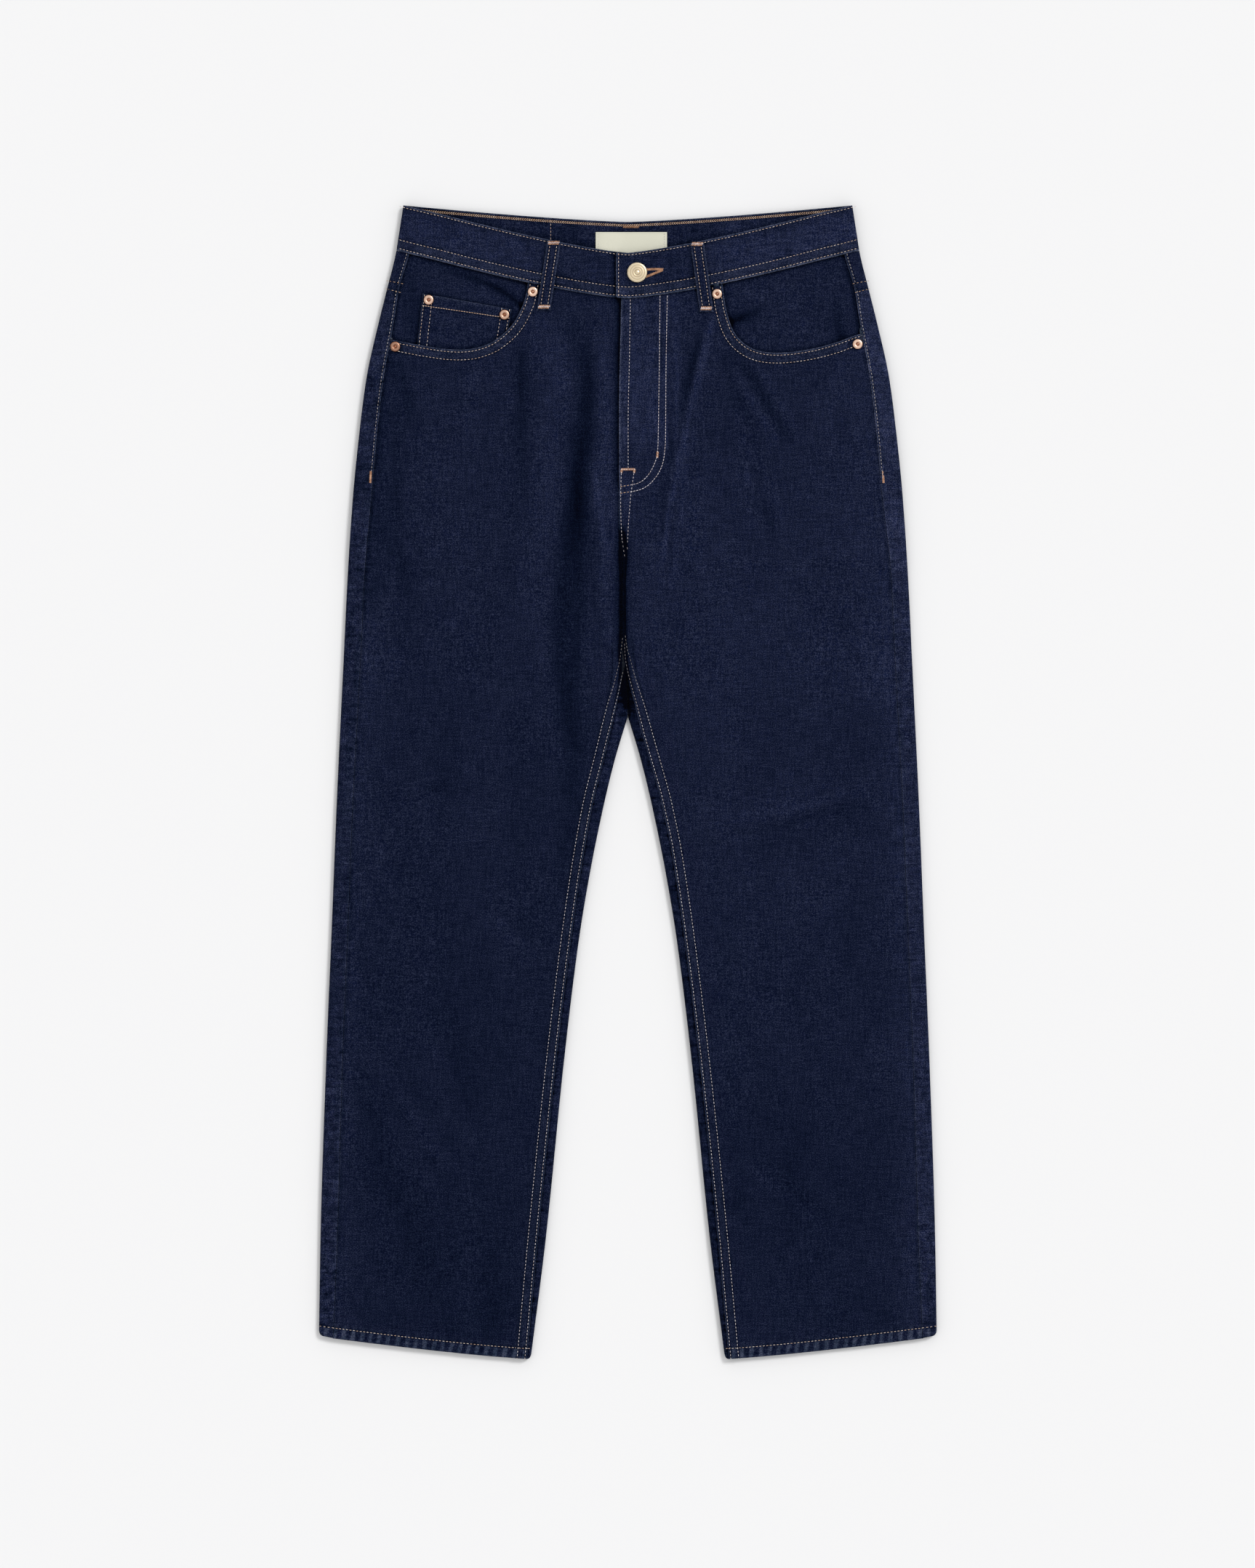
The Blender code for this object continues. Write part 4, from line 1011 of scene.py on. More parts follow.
def backUpper(across):
    return yokeLine(across) - jeans["gap"] / 2


def crowded(start, end, count, atStart=True):
    angle = np.linspace(0, math.pi / 2, count)
    share = 1 - np.cos(angle) if atStart else np.sin(angle)
    return start[:, None] + (end - start)[:, None] * share[None, :]


def cornerPull(up, radius=0.0050):
    # how much the folded corner of a hem is rounded off
    return radius * rounding(up / radius)


def backRows(side, v, lower, upper, wrapsLeg):
    seam = meetAll(v, lower, upper, sideSeam) + jeans["gap"] / 2
    fold = meetAll(v, lower, upper, sideFold)
    over = crowded(seam, fold, backMesh["over"], False)
    turned = crowded(fold, fold - levels["underRadius"], backMesh["turn"])[:, 1:]
    inner = meetAll(v, lower, upper, innerFold) if wrapsLeg else np.full(v.shape, 0.00002)
    end = inner + levels["underRadius"] if wrapsLeg else inner
    start = turned[:, -1]
    flat = start[:, None] + (end - start)[:, None] * np.linspace(0, 1, backMesh["under"])[None, 1:]
    blocks = [(over, topSurface), (turned, underSurface), (flat, underSurface)]
    if wrapsLeg:
        edge = meetAll(v, lower, upper, inseamEdge) - jeans["gap"] / 2
        blocks.append((crowded(end, inner, backMesh["turn"], False)[:, 1:], underSurface))
        blocks.append((crowded(inner, edge, 10)[:, 1:], topSurface))
    grids = []
    for across, surface in blocks:
        low, high = lower(across), upper(across)
        h = low + v[:, None] * (high - low)
        grids.append((side * across, h, surface(side * across, h)))
    return [np.hstack(grid) for grid in zip(*grids)]


def sideRelief(x, h, onTop):
    # the seam's edge on the front, and puckers across the strip beside it
    beyond = np.abs(x) - sideSeam(h)
    stitched = ease(0.784, 0.790, h)
    lap = plateau(beyond, 0.0040, 0.0005) * stitched + rolledEdge(beyond) * (0.5 + 0.5 * stitched)
    lap = lap + groove(beyond, 0.0021) * stitched
    wave = pucker(h, beyond - 0.003, 0.007, 0.00022, 13)
    return (lap + wave * 0.8) * onTop


def backPanel(side):
    top = float(backUpper(0.0))
    heights = rowHeights(top, backMesh["rowStep"])
    below = heights <= jeans["crotchHeight"]
    parts = []
    for chosen, wraps in ((below, True), (~below, False)):
        picked = heights[chosen] if wraps else np.concatenate([[heights[below][-1]], heights[chosen]])
        x, h, z = backRows(side, picked / top, hemLine, backUpper, wraps)
        column = np.arange(x.shape[1])[None, :]
        onTop = (column < backMesh["over"]) & (np.abs(x) < sideFold(h) - 0.0015)
        z = z + sideRelief(x, h, onTop * ease(0.0, 0.004, sideFold(h) - np.abs(x)))
        up = h - hemLine(x)
        pull = cornerPull(up)
        outer = (column < backMesh["over"] + backMesh["turn"] + 1) * ease(0.018, 0.0, sideFold(h) - np.abs(x))
        x = x - side * pull * outer
        if wraps:
            inner = column > x.shape[1] - backMesh["turn"] - 12
            x = x + side * 0.5 * pull * inner * ease(0.008, 0.0, np.abs(x) - innerFold(h))
        beyond = np.abs(x) - sideSeam(h)
        seen = column < backMesh["over"] + 2
        pale = 0.22 + 0.60 * ease(0.780, 0.800, h)
        wear = pale * (1 + 0.5 * cloudNoise(h / 0.012, 0 * h, 21)) * bump(beyond, 0.0010) * seen
        wear = wear + 0.35 * bump(up, 0.0012) + 0.04 * seen
        lighter = 0.26 if side > 0 else 0.06 - 0.10 * ease(0.24, 0.32, h)
        tone = 0.05 * cloudNoise(x / 0.05, h / 0.10, 2) + lighter * seen * ease(0.0, 0.10, h)
        tone = tone + rowTone(beyond, 0.0021, -0.55) * seen * ease(0.784, 0.790, h)
        mottle = (0.62 + 0.2 * cloudNoise(0 * h, h / 0.030, 24)) * seen
        bright = 0.35 if side > 0 else 0.12
        tone = tone + (bright + 0.3 * cloudNoise(0 * h, h / 0.020, 25)) * seen * ease(0.64, 0.76, h)
        if wraps:
            inside = inseamEdge(h) - np.abs(x)
            strip = column > x.shape[1] - 12
            # painted shade on the back's strip beside the inseam, darker on the left leg towards the crotch,
            # with the valley's painted shade
            dark = 0.12 if side < 0 else 0.30 + 0.35 * ease(0.50, 0.60, h)
            tone = tone + (shade(inside, 0.55, 0.0014) - dark) * strip
            mottle = mottle + 0.60 * strip
            tone = tone + strokes(valleyShadeStrokes, x, h) * strip
        tone = tone + rowTone(up, frontForm["hemRow"], -0.20, 0.0012)
        x = np.where(column < backMesh["over"] + backMesh["turn"], drawnIn(x, h), x)
        parts.append({"x": x, "h": h, "z": z, "outward": side > 0, "wear": wear, "tone": tone,
                      "rope": 0.50 * ease(0.0090, 0.0078, up), "mottle": mottle})
    return joinRows(parts)


def joinRows(parts):
    # pads the shorter rows of the hip, so that one grid covers the leg and the hip
    leg, hip = parts
    missing = leg["x"].shape[1] - hip["x"].shape[1]
    joined = {"outward": leg["outward"]}
    for key in ("x", "h", "z", "wear", "tone", "rope", "mottle"):
        upper = np.hstack([hip[key], np.repeat(hip[key][:, -1:], missing, axis=1)])
        if key in ("x", "h", "z"):
            shared = leg["x"].shape[1] - missing
            upper[0, :shared] = leg[key][-1, :shared]
        joined[key] = np.vstack([leg[key], upper[1:]])
    keep = np.ones(joined["x"].shape, bool)
    keep[len(leg["x"]):, hip["x"].shape[1]:] = False
    joined["keep"] = keep
    return [joined]


def yokeLower(across):
    return yokeLine(across) + jeans["gap"] / 2


def yokeUpper(across):
    return bandBackBottom(across) - jeans["gap"]


def yokePiece(side):
    v = np.concatenate([[0, 0.008, 0.02], np.linspace(0.05, 0.97, 22), [0.99, 1]])
    x, h, z = backRows(side, v, yokeLower, yokeUpper, False)
    column = np.arange(x.shape[1])[None, :]
    turn = backMesh["over"] - 1
    onFront = np.clip(1 - column / turn, 0, 1)
    spare = bandBackBottom(x) - bandFrontBottom(x)
    h = np.where(column <= turn, h - spare * v[:, None] * np.minimum(1.0, 2 * onFront), h)
    onTop = (column < backMesh["over"]) * ease(0.0, 0.004, sideFold(h) - np.abs(x))
    z = z + sideRelief(x, h, onTop)
    edgeUp = h - yokeLower(x)
    z = z + (rolledEdge(edgeUp) + plateau(edgeUp, 0.0090, 0.0003)) * onTop
    beyond = np.abs(x) - sideSeam(h)
    wear = 0.35 * bump(edgeUp, 0.0010) + 0.80 * bump(beyond, 0.001)
    tone = 0.06 * cloudNoise(x / 0.05, h / 0.10, 2) + rowTone(edgeUp, 0.0012) + rowTone(edgeUp, 0.0086)
    tone = tone + rowTone(beyond, 0.0021, -0.55) * onTop
    tone = tone + shade(frontUpper(x) - h, 0.65, 0.0020) * onTop
    x = np.where(column < backMesh["over"], drawnIn(x, h), x)
    return [{"x": x, "h": h, "z": z, "outward": side > 0, "wear": wear, "tone": tone}]


backPieces, yokePieces = {}, {}
for side, word in ((-1, "Right"), (1, "Left")):
    backPieces[side] = addCloth("back" + word, "back_" + word.lower(), backPanel(side), jeans["cloth"],
                                [denim, denimInside])
    yokePieces[side] = addCloth("yoke" + word, "yoke_" + word.lower(), yokePiece(side), jeans["cloth"],
                                [denim, denimInside])
print("backs and yokes done")


# pocket facings and the coin pocket
facing = {"bottom": 0.884, "inner": 0.077, "lap": 0.003, "rows": 70, "columns": 90}


def coinRoom(x, h):
    corners = jeans["coinCorners"]
    left, right, top = corners[3][0] - 0.011, corners[1][0] + 0.011, corners[0][1] + 0.011
    return ease(left - 0.009, left, x) * ease(right + 0.009, right, x) * ease(top + 0.009, top, h)


def facingLevel(side, x, h):
    level = crownLevel(x, h) - jeans["cloth"] - jeans["gap"] + strokes(facingCreases, x, h)
    if side < 0:
        level = level - (jeans["thinCloth"] + jeans["gap"]) * coinRoom(x, h)
    return level


def facingPiece(side):
    v = np.linspace(0, 1, facing["rows"])
    lower = lambda across: facing["bottom"] + 0 * across
    edge = meetAll(v, lower, frontUpper, sideSeam) + facing["lap"]
    share = np.linspace(0, 1, facing["columns"])[None, :]
    x = side * (edge[:, None] + (facing["inner"] - edge)[:, None] * share)
    h = facing["bottom"] + v[:, None] * (frontUpper(x) - facing["bottom"])
    tone = strokes(facingShadeStrokes, x, h) + 0.06 * cloudNoise(x / 0.03, h / 0.03, 4)
    tone = tone + shade(distanceTo(mouths[side], x, h), 0.60, 0.0030) + shade(frontUpper(x) - h, 0.65, 0.0024)
    fromSide = sideSeam(h) - seamPull(x, h) - np.abs(x)
    tone = tone + shade(fromSide, 0.60, 0.0024) + shadeOfTrims(x, h)
    if side < 0:
        corners = jeans["coinCorners"]
        outline = distanceTo([corners[3], corners[0], corners[1], corners[2]], x, h)
        tone = tone + shade(outline, 0.60, 0.0024)
    else:
        tone = tone + rowTone(fromSide, 0.0028)
    return [{"x": x, "h": h, "z": facingLevel(side, x, h), "outward": side < 0, "tone": tone}]


def coinPoint(u, v):
    topLeft, topRight, lowRight, lowLeft = (np.array(p) for p in jeans["coinCorners"])
    start = lowLeft + (topLeft - lowLeft) * v[..., None]
    end = lowRight + (topRight - lowRight) * v[..., None]
    return start + (end - start) * u[..., None]


coinForm = {
    "width": 0.080, "height": 0.056, "sideRows": (0.0018, 0.0088), "topRow": 0.0103,
    "fromSide": (0, 0.0006, 0.0013, 0.002, 0.003, 0.0045, 0.007, 0.0095, 0.011, 0.0125, 0.015),
    "fromTop": (0.0130, 0.0115, 0.0103, 0.0091, 0.0075, 0.0050, 0.0030, 0.0013, 0.0006, 0),
}


def coinLevel(x, h, u, v):
    # upper side of the coin pocket, raised at its hem and sewn edges
    fromSide, fromTop = np.minimum(u, 1 - u) * coinForm["width"], (1 - v) * coinForm["height"]
    level = crownLevel(x, h) - jeans["cloth"] - jeans["gap"] + rolledEdge(fromSide) + rolledEdge(fromTop)
    for row in coinForm["sideRows"]:
        level = level + 0.7 * groove(fromSide, row)
    return level + 0.7 * groove(fromTop, coinForm["topRow"])


def coinPiece():
    ends = np.array(coinForm["fromSide"]) / coinForm["width"]
    across = np.concatenate([ends, np.linspace(0.2, 0.8, 22), 1 - ends[::-1]])
    up = np.concatenate([np.linspace(0, 0.72, 20), 1 - np.array(coinForm["fromTop"]) / coinForm["height"]])
    u, v = np.meshgrid(across, up)
    point = coinPoint(u, v)
    x, h = point[..., 0], point[..., 1]
    fromTop = (1 - v) * coinForm["height"]
    fromSide = np.minimum(u, 1 - u) * coinForm["width"]
    wear = 0.60 * bump(fromTop, 0.0012) + 0.45 * bump(fromSide, 0.0010)
    tone = strokes(facingShadeStrokes, x, h) * 0.5 + 0.06 * cloudNoise(x / 0.03, h / 0.03, 4) + shadeOfTrims(x, h)
    tone = tone + rowTone(fromTop, 0.0112, -0.45)
    for row in coinForm["sideRows"]:
        tone = tone + rowTone(fromSide, row)
    tone = tone + shade(distanceTo(mouths[-1], x, h), 0.60, 0.0030)
    return [{"x": x, "h": h, "z": coinLevel(x, h, u, v), "outward": True, "wear": wear, "tone": tone}]


for side, word in ((-1, "Right"), (1, "Left")):
    addCloth("facing" + word, "pocket_facing_" + word.lower(), facingPiece(side),
                                  jeans["thinCloth"], [denim])
coinPocket = addCloth("coinPocket", "coin_pocket", coinPiece(), jeans["thinCloth"], [denim])
print("facings done")


# waistband
bandForm = {
    "lowerRows": (0.0022, 0.0100), "upperRow": 0.0021, "endRow": 0.0024,
    "cornerX": 0.2067, "turnX": 0.2, "corner": 0.0030,
    "frontColumns": 78, "backColumns": 130, "foldSteps": 13,
    # distances of the rows from the lower edge and from the upper one, and of the columns from the ends
    "fromLow": (0, 0.0003, 0.0007, 0.0012, 0.0018, 0.0022, 0.0026, 0.0034, 0.0050, 0.0072, 0.0090, 0.0095,
                0.0100, 0.0105, 0.0116),
    "fromTop": (0.0100, 0.0060, 0.0040, 0.0030, 0.0024, 0.0018, 0.0012, 0.0007, 0.0003, 0),
    "fromEnd": (0, 0.0003, 0.0008, 0.0014, 0.0020, 0.0024, 0.0028, 0.0036, 0.0050),
}


def bandLevel(x):
    return levels["bandFront"] + levels["bandStep"] * ease(0.056, 0.032, x)


def bandRelief(up, fromEnd, along, front):
    # up runs from 0 at the lower edge to 1 at the upper one
    low, high = up * jeans["bandHeight"], (1 - up) * jeans["bandHeight"]
    relief = rolledEdge(low) + rolledEdge(high) + rolledEdge(fromEnd)
    for row in bandForm["lowerRows"]:
        relief = relief + groove(low, row)
    relief = relief + groove(high, bandForm["upperRow"]) + groove(fromEnd, bandForm["endRow"])
    relief = relief + pucker(along, low - 0.0055, 0.006, 0.00016, 15)
    relief = relief + pucker(along, high, 0.006, 0.00016, 17)
    return (relief + 0.00018 * cloudNoise(along / 0.03, up * 2, 6)) * front


def bandStations():
    # the columns, from the underlap round the back to the overlap: the stretch, and the place along it
    ends = np.array(bandForm["fromEnd"])
    run = np.linspace(0, 1, bandForm["frontColumns"])
    arc = np.linspace(0, math.pi, bandForm["foldSteps"])[1:-1]
    right = np.unique(np.concatenate([ends / (bandForm["turnX"] + levels["underlapX"]), run]))
    left = np.unique(np.concatenate([1 - ends / (bandForm["turnX"] - levels["overlapX"]), run]))
    back = np.linspace(0, 1, bandForm["backColumns"])
    stretches = (("rightFront", right), ("rightFold", arc), ("back", back), ("leftFold", arc),
                 ("leftFront", left))
    return [(stretch, place) for stretch, places in stretches for place in places]


def bandPoint(stretch, share, up, foldX):
    radius = (levels["bandFront"] - levels["bandBack"]) / 2
    turn = foldX + (jeans["sides"][-1][1] - foldX) * up - radius
    middle = (levels["bandFront"] + levels["bandBack"]) / 2
    front, fromEnd = 1.0 + 0 * up, 1.0 + 0 * up
    if stretch == "rightFront":
        x = levels["underlapX"] + (-turn - levels["underlapX"]) * share
        level, back = levels["bandFront"] + 0 * up, 0.0
        fromEnd = levels["underlapX"] - x
    elif stretch == "leftFront":
        x = turn + (levels["overlapX"] - turn) * share
        level, back = bandLevel(x), 0.0
        fromEnd = x - levels["overlapX"]
    elif stretch == "back":
        x, level, back = -turn + 2 * turn * share, levels["bandBack"] + 0 * up, 1.0
        front = 0 * up
    else:
        sign = -1 if stretch == "rightFold" else 1
        x = sign * (turn + radius * math.sin(share))
        level = middle - sign * math.cos(share) * radius + 0 * up
        back = float(ease(0, math.pi, share)) if sign < 0 else 1 - float(ease(0, math.pi, share))
        front = front * (1 - back) * (math.cos(share) * -sign > 0)
    low = bandFrontBottom(x) * (1 - back) + bandBackBottom(x) * back
    high = bandFrontTop(x) * (1 - back) + bandBackTop(x) * back
    # the ends of the band have small rounded corners
    corner = bandForm["corner"] * (rounding(fromEnd / bandForm["corner"]) if stretch != "back" else 0)
    low, high = low + corner * 0.6, high - corner
    return x, low + (high - low) * up, level + bandRelief(up, fromEnd, x, front), front


def bandShadeAndTone(x, h, low, high, on):
    # on: where each stretch of the band is
    tone = 0.10 * cloudNoise(x / 0.04, h / 0.03, 8) + 0.12 * cloudNoise(x / 0.012, h / 0.016, 9)
    tone = tone + rowTone(low, 0.0024, -0.62) + rowTone(low, 0.0102, -0.72) + rowTone(high, 0.0023, -0.50)
    # paler beyond the loops, most on the left, and at the overlap's corner
    beyond, left = ease(0.055, 0.095, np.abs(x)), ease(0.0, 0.05, x)
    tone = tone + shadeOfTrims(x, h) + 0.05 + (0.06 + 0.10 * left) * beyond
    tone = tone + (0.24 + 0.14 * left) * beyond * ease(0.0085, 0.0110, low) * ease(0.0040, 0.0100, high)
    tone = tone + 0.45 * bump(x - levels["overlapX"] - 0.006, 0.007) * bump(low - 0.0050, 0.0050)
    tone = tone + shade(levels["overlapX"] - x, 0.95, 0.0028) * on["rightFront"]
    # painted shade on the inside of the back of the band, darkest just above the front band's top edge
    return tone + (shade(h - bandFrontTop(x), 0.45, 0.0040) - 0.18 - 0.1 * beyond) * on["back"]


def bandPiece():
    fromLow, fromTop = (np.array(bandForm[key]) / jeans["bandHeight"] for key in ("fromLow", "fromTop"))
    up = np.concatenate([fromLow, np.linspace(0.36, 0.70, 6), 1 - fromTop])
    stations = bandStations()
    foldX = float(sideFold(bandFrontBottom(bandForm["cornerX"])))
    columns = [bandPoint(stretch, share, up, foldX) for stretch, share in stations]
    x, h, z, front = (np.stack([column[k] for column in columns], axis=1) for k in range(4))
    on = {name: np.array([stretch == name for stretch, place in stations])[None, :]
          for name in ("rightFront", "back", "leftFront")}
    low, high = up[:, None] * jeans["bandHeight"], (1 - up[:, None]) * jeans["bandHeight"]
    wear = 1.5 * bump(low, 0.0012) + 1.3 * bump(high, 0.0009)
    wear = wear + (0.14 + 0.08 * cloudNoise(x / 0.012, 0 * x, 10)) * ease(0.0110, 0.0095, low)
    wear = wear + 1.0 * bump(x - levels["overlapX"] - 0.0003, 0.0011) * on["leftFront"]
    front = np.maximum(front, on["back"])
    least = np.maximum(front, 0.3)
    return [{"x": x, "h": h, "z": z, "outward": False, "wear": wear * least,
             "tone": bandShadeAndTone(x, h, low, high, on) * front, "mottle": 0.30 * least}]


waistband = addCloth("waistbandCloth", "waistband", bandPiece(), jeans["band"], [denim])
print("waistband done")


# belt loops and back pockets
backLoops = {"Right": -0.135, "Left": 0.135, "Centre": 0.0}
backLoopLength = 0.060
backPocket = {
    "centre": (0.1090, 0.8150), "tilt": math.radians(8), "faces": 56,
    "outline": [(-0.074, 0.073), (-0.064, -0.062), (0.0, -0.083), (0.064, -0.062), (0.074, 0.073)],
}


def loopAt(ends, across, share):
    # across from -1 to 1, share from 0 at the top to 1 at the bottom
    (topX, topH), (lowX, lowH) = ends
    x = topX + (lowX - topX) * share
    h = topH + (lowH - topH) * share
    seam = bandFrontBottom(x)
    onBand = ease(seam - 0.004, seam - 0.001, h)
    under = crownLevel(x, h) * (1 - onBand) + levels["bandFront"] * onBand
    arch = loopForm["arch"] * np.sin(math.pi * share) ** 2
    half = loopForm["width"] / 2
    fromTop = np.minimum(share, 1 - share) * 0.060
    level = under + jeans["gap"] + jeans["cloth"] + arch + 0.5 * rolledEdge(fromTop)
    level = level + rolledEdge((1 - np.abs(across)) * half)
    level = level + groove(np.abs(across) * half, loopForm["rowOffset"])
    level = level + 0.00020 * bump(across, 0.22) - 0.0003 * bump(share - 0.93, 0.025)
    return x + across * half, h, level


def loopPiece(ends):
    steps = np.array([0, 0.05, 0.11, 0.18, 0.28, 0.38, 0.45, 0.51, 0.57, 0.66, 0.80, 1.0])
    share = np.concatenate([[0, 0.006, 0.015, 0.03], np.linspace(0.05, 0.95, 34), [0.97, 0.985, 0.994, 1]])
    across, share = np.meshgrid(np.concatenate([-steps[::-1], steps[1:]]), share)
    x, h, z = loopAt(ends, across, share)
    half = loopForm["width"] / 2
    wear = 0.75 * bump((1 - np.abs(across)) * half, 0.0011)
    wear = wear + 0.40 * bump(np.minimum(share, 1 - share), 1 / 60)
    tone = rowTone(np.abs(across) * half, loopForm["rowOffset"], -0.60) + 0.03
    return [{"x": x, "h": h, "z": z, "outward": False, "wear": wear, "tone": tone}]


def backLoopPiece(middle):
    # lies flat on the surface, facing down
    half = loopForm["width"] / 2
    top = float(bandBackTop(middle)) - 0.001
    rows = np.linspace(top - backLoopLength, top, int(backLoopLength / 0.003) + 1)
    x, h = np.meshgrid(np.linspace(middle - half, middle + half, 5), rows)
    edge = np.minimum(half - np.abs(x - middle), np.minimum(top - h, h - top + backLoopLength))
    return [{"x": x, "h": h, "z": 0 * x, "outward": False, "wear": 0.4 * bump(edge, 0.0012)}]


for word, ends in frontLoops.items():
    name = "loopFront" + word
    addCloth(name, "belt_loop_front_" + word.lower(), loopPiece(ends), jeans["cloth"], [denim])
for word, middle in backLoops.items():
    name = "loopBack" + word
    addCloth(name, "belt_loop_back_" + word.lower(), backLoopPiece(middle), jeans["cloth"],
                           [denim])


def pocketPoint(side, a, b):
    tilt = backPocket["tilt"]
    x = backPocket["centre"][0] + a * math.cos(tilt) - b * math.sin(tilt)
    return side * x, backPocket["centre"][1] + a * math.sin(tilt) + b * math.cos(tilt)


def backPocketPiece(side):
    outline = np.array(backPocket["outline"])
    across = np.linspace(0, 1, backPocket["faces"] + 1)
    top = outline[0] + (outline[4] - outline[0]) * across[:, None]
    low = np.stack([np.interp(across, [0, 0.5, 1], outline[1:4, k]) for k in (0, 1)], axis=1)
    up = across[:, None]
    point = low * (1 - up[..., None]) + top * up[..., None]
    x, h = pocketPoint(side, point[..., 0], point[..., 1])
    edge = np.minimum(np.minimum(across, 1 - across) * 0.13, np.minimum(up, 1 - up) * 0.14)
    return [{"x": x, "h": h, "z": 0 * x, "outward": side < 0, "wear": 0.4 * bump(edge, 0.0014)}]


for side, word in ((-1, "Right"), (1, "Left")):
    addCloth("backPocket" + word, "back_pocket_" + word.lower(), backPocketPiece(side),
                                 jeans["cloth"], [denim])
print("loops and back pockets done")


# button, rivets and label
def turnedMesh(name, form, place, level, reflectionDimming=0.0):
    # the profile holds radius, height and how tarnished, from the top of the axis down to its foot
    steps, profile = form["steps"], np.array(form["profile"])
    angles = np.linspace(0, 2 * math.pi, steps, endpoint=False)
    ring = np.stack([np.cos(angles), np.sin(angles), 0 * angles], axis=1)
    middle = np.array([place[0], place[1] - jeans["length"] / 2, level])
    points, tarnishAndDimming = [middle + (0, 0, profile[0, 1])], [profile[0, 2]]
    for radius, height, dull in profile[1:-1]:
        points += list(middle + (0, 0, height) + radius * ring)
        tarnishAndDimming += [dull] * steps
    points.append(middle + (0, 0, profile[-1, 1]))
    tarnishAndDimming.append(profile[-1, 2])
    faces, foot = [], len(points) - 1
    for i in range(steps):
        j = (i + 1) % steps
        faces.append((0, 1 + i, 1 + j))
        faces += [(a + i, a + steps + i, a + steps + j, a + j) for a in range(1, foot - steps, steps)]
        faces.append((foot, foot - steps + j, foot - steps + i))
    mesh = bpy.data.meshes.new(name)
    mesh.from_pydata(points, [], faces)
    # the profile's tarnish in the hollows, plus a painted dimming of the whole rivet's reflection
    marks = mesh.attributes.new("tarnishAndDimming", "FLOAT", "POINT")
    marks.data.foreach_set("value", np.minimum(np.array(tarnishAndDimming) + reflectionDimming, 1.0).astype(np.float32))
    mesh.shade_smooth()
    mesh.set_sharp_from_angle(angle=math.radians(60))
    return mesh


rivetForm = {
    "profile": [
        (0, 0.0009, 0.6), (0.0004, 0.00088, 0.7), (0.0007, 0.0006, 1.0), (0.0010, 0.00035, 1.0),
        (0.0013, 0.0004, 1.0), (0.0016, 0.0009, 0.6), (0.0019, 0.0012, 0.15), (0.0023, 0.00135, 0.0),
        (0.0031, 0.00140, 0.0), (0.0037, 0.00128, 0.1), (0.0042, 0.0010, 0.5), (0.0046, 0.0004, 0.9),
        (0.0046, -0.0004, 0.6), (0, -0.0004, 1),
    ],
    "steps": 44,
    # painted reflection: how much darker and duller each rivet's copper is painted, for the less light that
    # it reflects
    "reflectionDimming": {"rivet_right_mouth_side": 0.80, "rivet_coin_inner": 0.42, "rivet_coin_outer": 0.24,
                 "rivet_left_mouth_top": 0.14},
}
buttonForm = {
    "place": (0.0083, 0.9698), "steps": 72,
    "profile": [
        (0, 0.00335, 0.0), (0.0008, 0.00330, 0.0), (0.0016, 0.00310, 0.1), (0.0020, 0.00285, 0.6),
        (0.0024, 0.00280, 0.8), (0.0028, 0.00300, 0.2), (0.0034, 0.00305, 0.0), (0.0039, 0.00290, 0.5),
        (0.0042, 0.00285, 0.7), (0.0046, 0.00295, 0.1), (0.0058, 0.00300, 0.0), (0.0062, 0.00285, 0.5),
        (0.0065, 0.00280, 0.6), (0.0069, 0.00290, 0.0), (0.0078, 0.00285, 0.0), (0.0084, 0.0026, 0.0),
        (0.0088, 0.0022, 0.1), (0.0090, 0.0017, 0.3), (0.0087, 0.0012, 0.8), (0.0036, 0.0008, 1.0),
        (0.0033, 0.0000, 1.0), (0, 0.0000, 1),
    ],
}


def addTrim(name, node, mesh, material):
    obj = addPiece(name, mesh, [material])
    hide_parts(node)
    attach(obj, "root")
    return obj


for node, place in rivetPlaces.items():
    name = "".join(word.capitalize() if i else word for i, word in enumerate(node.split("_")))
    rivet = turnedMesh(name, rivetForm, place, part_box(node)[0].z, rivetForm["reflectionDimming"].get(node, 0.0))
    addTrim(name, node, rivet, copper)
button = turnedMesh("tackButton", buttonForm, buttonForm["place"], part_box("button")[0].z)
addTrim("tackButton", "button", button, brass)

labelForm = {
    "left": -0.0287, "right": 0.0350, "bottom": 0.9815, "top": 1.0062, "level": 0.0040, "thickness": 0.0006,
}


def labelPiece():
    x, h = np.meshgrid(np.linspace(labelForm["left"], labelForm["right"], 60),
                       np.linspace(labelForm["bottom"], labelForm["top"], 24))
    wave = 0.00025 * np.sin((x - 0.01) * 140) + 0.0002 * cloudNoise(x / 0.02, h / 0.02, 3)
    lift = 0.0004 * ease(1.0050, 1.0062, h)
    outside = labelForm["level"] + labelForm["thickness"] + 0.0003
    z = outside + wave * ease(0, 0.006, x - labelForm["left"]) + lift
    return [{"x": x, "h": h, "z": z, "outward": True}]


blankLabel = addCloth("blankLabel", "label", labelPiece(), labelForm["thickness"], [labelCloth])
print("trim done")


